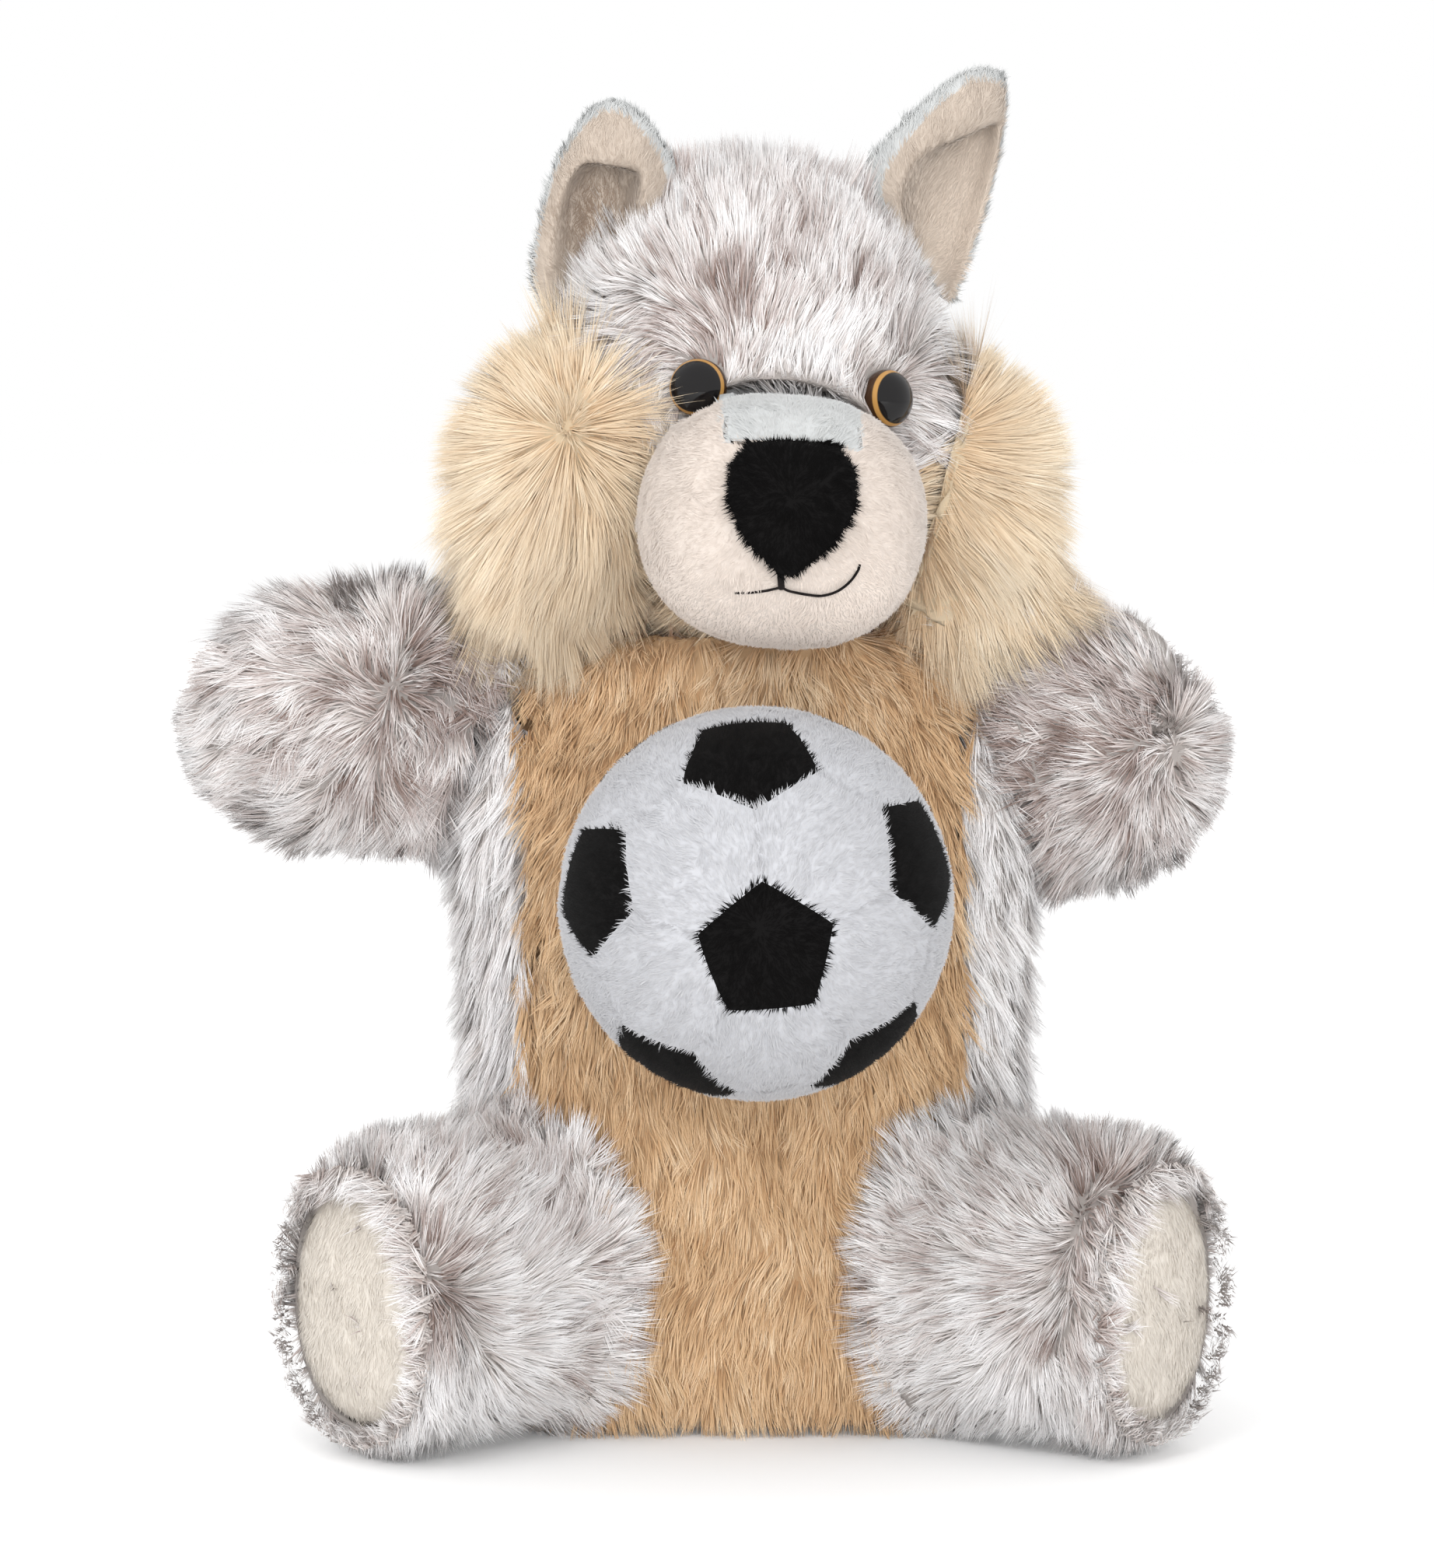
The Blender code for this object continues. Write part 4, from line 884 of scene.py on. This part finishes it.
# the wide lighter marks low on each leg's front are painted light; the small darker ones darken the partings
legMarksAndPaintedLight = dict(
    left=[(477, 1603, 4, -0.6), (518, 1625, 4, -0.5), (570, 1681, 5, -0.6), (610, 1715, 4, -0.5),
          (620, 1820, 15, 0.5), (700, 1700, 12, 0.15), (460, 1565, 5, -0.35), (600, 1630, 5, -0.3),
          (640, 1770, 4, -0.35), (650, 1835, 3, -0.3)],
    right=[(1290, 1820, 15, 0.5), (1220, 1700, 12, 0.15), (1479, 1499, 5, -0.45), (1440, 1522, 5, -0.5),
           (1398, 1576, 5, -0.45), (1378, 1630, 5, -0.5), (1359, 1680, 4, -0.55), (1345, 1740, 4, -0.3),
           (1400, 1490, 6, -0.3), (1310, 1630, 5, -0.25)])
bodyMiddle = np.array(boxMid("body_back"))
for side in sides:
    sign = -1 if side == "left" else 1
    onRight = int(side == "right")

    def combArm(roots, normals):
        out = np.abs(roots[:, 0] - bodyMiddle[0])
        reach = ramp(out, 62 * mm, 80 * mm)[:, None]
        lie = np.array([sign * 1.0, 0, -0.25]) * reach + np.array([-sign * 0.25, 0, -1.0]) * (1 - reach)
        return lie + 0.35 * np.stack([mottle(roots, 40, 5), 0 * reach[:, 0], mottle(roots, 40, 6)], 1)

    furredPart("arm", side, 5 * mm, 5.0, 16, dict(armLook, seed=27 + onRight), armGuides, combArm, armMarksAndPaintedShade,
               greyTone, greyFur, greyCloth)

    sole = f"sole_{side}"
    soleMiddle = np.array(boxMid(sole))
    soleTree = treeOf([sole])
    points = np.array([vertex.co for vertex in bpy.data.objects[sole].data.vertices])
    ways = np.linalg.eigh(np.cov((points - points.mean(0)).T))[1]
    axis = ways[:, 0] * -np.sign(ways[1, 0])  # the way the sole looks

    def combLeg(roots, normals):
        away = unit(roots - soleMiddle)
        return away + 0.25 * np.stack([mottle(roots, 40, 7), mottle(roots, 40, 8), mottle(roots, 40, 9)], 1)

    def besideSole(roots):  # none under the sole
        starts = roots - axis * 3 * mm
        return np.array([soleTree.ray_cast(start, axis, 20 * mm)[0] is None for start in starts])

    furredPart("leg", side, 4.5 * mm, 5.5, 18, dict(legLook, seed=29 + onRight), legGuides, combLeg, legMarksAndPaintedLight,
               greyTone, greyFur, greyCloth,
               lambda middle, normal: middle.z > 0.3 * mm, besideSole)

    skin = outerSkin(f"soleSkin_{side}", [sole], 0.8 * mm, 2, 5, beside=1, thickness=0)
    roots, normals = plantRoots(skin, 7, 19, others(sole), 1.5 * mm)
    fur = dict(plushPile, seed=31, length=1.8 * mm)
    growPile(f"solePile_{side}", roots, normals, fur, combDown, plainTone, solePlush)

    # the leg's fur hangs over the sole's edge, most of it above and on the inner side
    flat = points - points.mean(0)
    turns = np.arctan2(flat @ ways[:, 2], flat @ ways[:, 1])
    heights = flat @ axis
    rng = np.random.default_rng(35)
    roots, radials = [], []
    for turn in rng.uniform(-math.pi, math.pi, soleFringe["strands"]):
        apart = -np.cos(turns - turn)
        near = np.flatnonzero(apart <= max(-0.985, np.sort(apart)[8]))
        far = np.linalg.norm(flat[near] - np.outer(heights[near], axis), axis=1).max()
        radial = math.cos(turn) * ways[:, 1] + math.sin(turn) * ways[:, 2]
        radials.append(radial)
        roots.append(points.mean(0) + radial * (far + rng.uniform(*soleFringe["outside"]))
                     + axis * (heights[near].max() - rng.uniform(*soleFringe["behind"])))
    roots, radials = np.array(roots), np.array(radials)
    facing = unit(axis + 0.45 * radials)
    upper = unit(np.array([-sign * 0.9, 0, 0.8]))
    fur = dict(longPile, seed=36, length=soleFringe["length"], lift=0.26, swirl=0.5, curl=0.9, parting=0)
    growPile(f"fringePile_{side}", roots, facing, fur, lambda r, n: -radials, greyTone, greyFur,
             lambda r: 0.5 + 0.6 * ramp(unit(r - soleMiddle) @ upper, -0.2, 0.8))
    finishSkin(skin, [sole], [soleCloth])
print("limbs done")

# Ears: a cup of blue-grey plush lined in beige, its rim rolled forward into a brim

def atDepth(px, py, depth):  # the point at a depth (world y) that a pixel of the photograph shows
    ahead = np.array([0, math.cos(tilt), -math.sin(tilt)]) * view["distance"]
    way = ahead + upward * (view["pixelsHigh"] / 2 - py) * view["scale"]
    way[0] += (px - view["middlePixel"]) * view["scale"]
    start = np.array(camera.location)
    return start + way * (depth - start[1]) / way[1]


earRows = dict(mmPerPixel=0.146, middle=2, length=25)
# stations from one foot over the tip to the other, in pixels of the photograph: outer edge, colour seam,
# edge of the hollow, and how far that edge stands forward in mm
earShapes = dict(
    left=dict(
        depth=25, slope=-0.1, middle=-18, spine=((770, 372), (782, 172)), back=6.5, floor=4.5,
        # its marks darken the hollow under the brim: painted shade
        marks=[(760, 270, 8, -0.4), (770, 330, 8, -0.3)],
        stations=[(700, 412, 704, 410, 722, 392, 1.0), (684, 355, 689, 355, 712, 345, 1.5),
                  (692, 290, 697, 291, 716, 295, 2.0), (708, 222, 714, 226, 726, 246, 3.0),
                  (745, 152, 752, 160, 746, 212, 5.0), (788, 127, 790, 138, 782, 216, 6.0),
                  (832, 152, 822, 166, 815, 220, 5.5), (864, 198, 848, 208, 826, 228, 4.5),
                  (880, 240, 862, 246, 822, 256, 3.5), (866, 296, 852, 296, 818, 296, 2.5),
                  (850, 350, 842, 350, 812, 345, 1.0)]),
    right=dict(
        depth=41, slope=0.62, middle=42, spine=((1185, 345), (1262, 128)), back=6.5, floor=4.5,
        # its marks lighten the lit side of the lining: painted light
        marks=[(1225, 300, 12, 0.2), (1255, 210, 8, 0.1)],
        stations=[(1135, 300, 1160, 306, 1172, 310, 1.0), (1103, 224, 1137, 252, 1158, 260, 2.5),
                  (1128, 186, 1150, 212, 1170, 222, 3.5), (1166, 148, 1180, 166, 1192, 196, 4.5),
                  (1210, 108, 1218, 126, 1222, 183, 5.5), (1250, 88, 1250, 102, 1254, 172, 5.5),
                  (1288, 94, 1282, 104, 1274, 162, 4.0), (1297, 122, 1293, 126, 1286, 160, 2.0),
                  (1288, 190, 1285, 191, 1279, 196, 1.0), (1266, 280, 1263, 280, 1256, 282, 1.0),
                  (1240, 350, 1237, 350, 1230, 350, 1.0), (1222, 400, 1219, 398, 1212, 396, 0.5)]))
for side in sides:
    shape = earShapes[side]
    line = smoothLine(shape["stations"], earRows["length"])
    outer, seam, hollow, lip = line[:, :2], line[:, 2:4], line[:, 4:6], line[:, 6]
    share = 1 - np.abs(np.linspace(-1, 1, len(line)))
    low, high = np.array(shape["spine"], float)
    spine = low + (high - low) * share[:, None]
    flatLip = 0 * lip
    back, floorDepth = shape["back"], shape["floor"]
    rows = [(spine, back + flatLip), (spine + (outer - spine) * 0.55, 0.85 * back + flatLip),
            (spine + (outer - spine) * 0.9, 0.4 * back + flatLip), (outer, flatLip),
            (seam, -0.3 * lip - 0.5), (seam + (hollow - seam) * 0.6, -0.85 * lip - 0.6), (hollow, -lip),
            (hollow + (spine - hollow) * 0.12, 0.5 - 0.5 * lip),
            (hollow + (spine - hollow) * 0.45, 0.7 * floorDepth + flatLip), (spine, floorDepth + flatLip)]
    verts = []
    for places, depths in rows:
        for (px, py), depth in zip(places, depths):
            across = (px - view["middlePixel"]) * earRows["mmPerPixel"] + earRows["middle"]
            flat = shape["depth"] + shape["slope"] * (across - shape["middle"])
            verts.append(atDepth(px, py, (flat + depth) * mm))
    width = len(line)
    faces = [(row * width + i, row * width + i + 1, (row + 1) * width + i + 1, (row + 1) * width + i)
             for row in range(len(rows) - 1) for i in range(width - 1)]
    mesh = bpy.data.meshes.new(f"earSkin_{side}")
    mesh.from_pydata([tuple(vert) for vert in verts], [], faces)
    mesh.polygons.foreach_set("material_index", [0 if i // (width - 1) < 4 else 1 for i in range(len(faces))])
    bm = bmesh.new()
    bm.from_mesh(mesh)
    bmesh.ops.remove_doubles(bm, verts=bm.verts, dist=0.02 * mm)
    bmesh.ops.holes_fill(bm, edges=bm.edges, sides=0)
    bmesh.ops.recalc_face_normals(bm, faces=bm.faces)
    bm.to_mesh(mesh)
    bm.free()
    skin = addObject(f"earSkin_{side}", mesh)
    applyModifier(skin, "SUBSURF", levels=2, render_levels=2)
    mesh.shade_smooth()
    nodes = [f"ear_back_{side}", f"ear_lining_{side}"]
    roots, normals = plantRoots(skin, 7, 20, headTree, 1 * mm)
    mesh.calc_loop_triangles()
    corners = [face.vertices[:] for face in mesh.polygons]
    tree = BVHTree.FromPolygons([vertex.co for vertex in mesh.vertices], corners)
    lined = np.array([mesh.polygons[tree.find_nearest(root)[2]].material_index == 1 for root in roots])
    foot = atDepth(*low, shape["depth"] * mm)
    fur = dict(plushPile, seed=32, length=1.8 * mm)
    growPile(f"earBackPile_{side}", roots[~lined], normals[~lined], dict(fur, length=2.4 * mm),
             lambda r, n: r - foot, plainTone, bluePlush)
    growPile(f"earLiningPile_{side}", roots[lined], normals[lined], fur, lambda r, n: r - foot,
             shadeMarks(tree, shape["marks"], plainTone), earPlush)
    mesh.materials.append(blueCloth)
    mesh.materials.append(earCloth)
    addedTriangles.append(len(mesh.loop_triangles))
    applyModifier(skin, "SMOOTH", factor=0.3, iterations=1)
    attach(skin, "root")
    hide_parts(*nodes)
print("ears done")

# Football

pentagons = [f"ball_pentagon_{n:02}" for n in range(1, 13)]
ballNodes = ["ball_white_panels"] + pentagons
skin = outerSkin("ballSkin", ballNodes, 1 * mm, 2, 3, beside=1)
roots, normals = plantRoots(skin, 5.5, 33, others(*ballNodes), 2 * mm)
onBlack = ownerOf(ballNodes, roots, normals) > 0
ballMiddle = np.array(boxMid("ball_white_panels"))
spots = unit(np.array([boxMid(node) for node in pentagons]) - ballMiddle)


def combBack(roots, normals):
    return np.tile([0.0, 1.0, 0.0], (len(roots), 1))


ballSeams = dict(radius=36, width=0.5, depth=0.3, reach=0.93)


def ballTone(roots, normals, tuft, wisp, rng):  # faint seams where two white panels meet
    tone = plainTone(roots, normals, tuft, wisp, rng)
    ways = unit(roots - ballMiddle)
    for i, first in enumerate(spots):
        for second in spots[:i]:
            if 0.2 < first @ second < 0.8:
                off = np.abs(ways @ unit(np.cross(first, second))) * ballSeams["radius"]
                between = ways @ unit(first + second) > ballSeams["reach"]
                tone = tone - ballSeams["depth"] * between * np.exp(-((off / ballSeams["width"]) ** 2))
    return tone


fur = dict(plushPile, seed=34, length=1.6 * mm)
growPile("ballWhitePile", roots[~onBlack], normals[~onBlack], fur, combBack, ballTone, whitePlush)
growPile("ballBlackPile", roots[onBlack], normals[onBlack], fur, combBack, plainTone, blackPlush)
finishSkin(skin, ballNodes, [whiteCloth, blackCloth])
print("ball done")

# CAD nodes that stay: lining, stuffing, washers and stitches

washerPlastic = clothMaterial("washerPlastic", srgb(226, 226, 220), srgb(216, 216, 210), 200, 0.1, 0.4)
kept = {"glove_lining": liningCloth, "finger_sleeve": liningCloth}
kept.update({node: fibre for node in allNodes if "stuffing" in node})
kept.update({node: washerPlastic for node in allNodes if "washer" in node})
for node, material in kept.items():
    piece = bpy.data.objects[node]
    piece.data.materials.clear()
    piece.data.materials.append(material)

# Floor and light

room = dict(floorSize=6.0, floorLift=0.1, worldStrength=1.0, keyPower=5.0, fillPower=20.0, backPower=8.0)
bpy.ops.mesh.primitive_plane_add(size=room["floorSize"], location=(0, 0, 0))
floor = bpy.context.active_object
floor.name = "floor"
floor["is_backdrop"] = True
floorPaint, tree, shader = nodeMaterial("floorPaint", 0.9, 0.0)
shader.inputs["Base Color"].default_value = (0.9, 0.9, 0.9, 1)
path = tree.nodes.new("ShaderNodeLightPath")
lift = tree.nodes.new("ShaderNodeMath")
lift.operation = "MULTIPLY"
lift.inputs[1].default_value = room["floorLift"]
tree.links.new(path.outputs["Is Camera Ray"], lift.inputs[0])
tree.links.new(lift.outputs[0], shader.inputs["Emission Strength"])
shader.inputs["Emission Color"].default_value = (1, 1, 1, 1)
floor.data.materials.append(floorPaint)

world = bpy.data.worlds.new("studio")
bpy.context.scene.world = world
world.use_nodes = True
tree = world.node_tree
background = tree.nodes["Background"]
background.inputs["Color"].default_value = (1, 1, 1, 1)
path = tree.nodes.new("ShaderNodeLightPath")
strength = tree.nodes.new("ShaderNodeMix")
strength.inputs["A"].default_value = room["worldStrength"]
strength.inputs["B"].default_value = 1.0
tree.links.new(path.outputs["Is Camera Ray"], strength.inputs["Factor"])
tree.links.new(strength.outputs["Result"], background.inputs["Strength"])


def addLamp(name, size, power, place):
    lamp = bpy.data.lights.new(name, "AREA")
    lamp.shape = "DISK"
    lamp.size = size
    lamp.energy = power
    holder = addObject(name, lamp)
    holder.location = place
    holder.visible_glossy = False
    holder.rotation_euler = (target - Vector(place)).to_track_quat("-Z", "Y").to_euler()


addLamp("keyLight", 0.9, room["keyPower"], (-0.6, -0.9, 1.1))
addLamp("fillLight", 1.4, room["fillPower"], (0.15, -1.6, 0.25))
addLamp("backLight", 1.4, room["backPower"], (-0.3, 1.6, 0.5))

bpy.context.scene.view_settings.view_transform = "Standard"

print(f"{sum(addedTriangles)} triangles of skins and pile")
sizes = {"cad": [list(corner) for corner in cadBox], "visual": [list(corner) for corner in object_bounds()]}
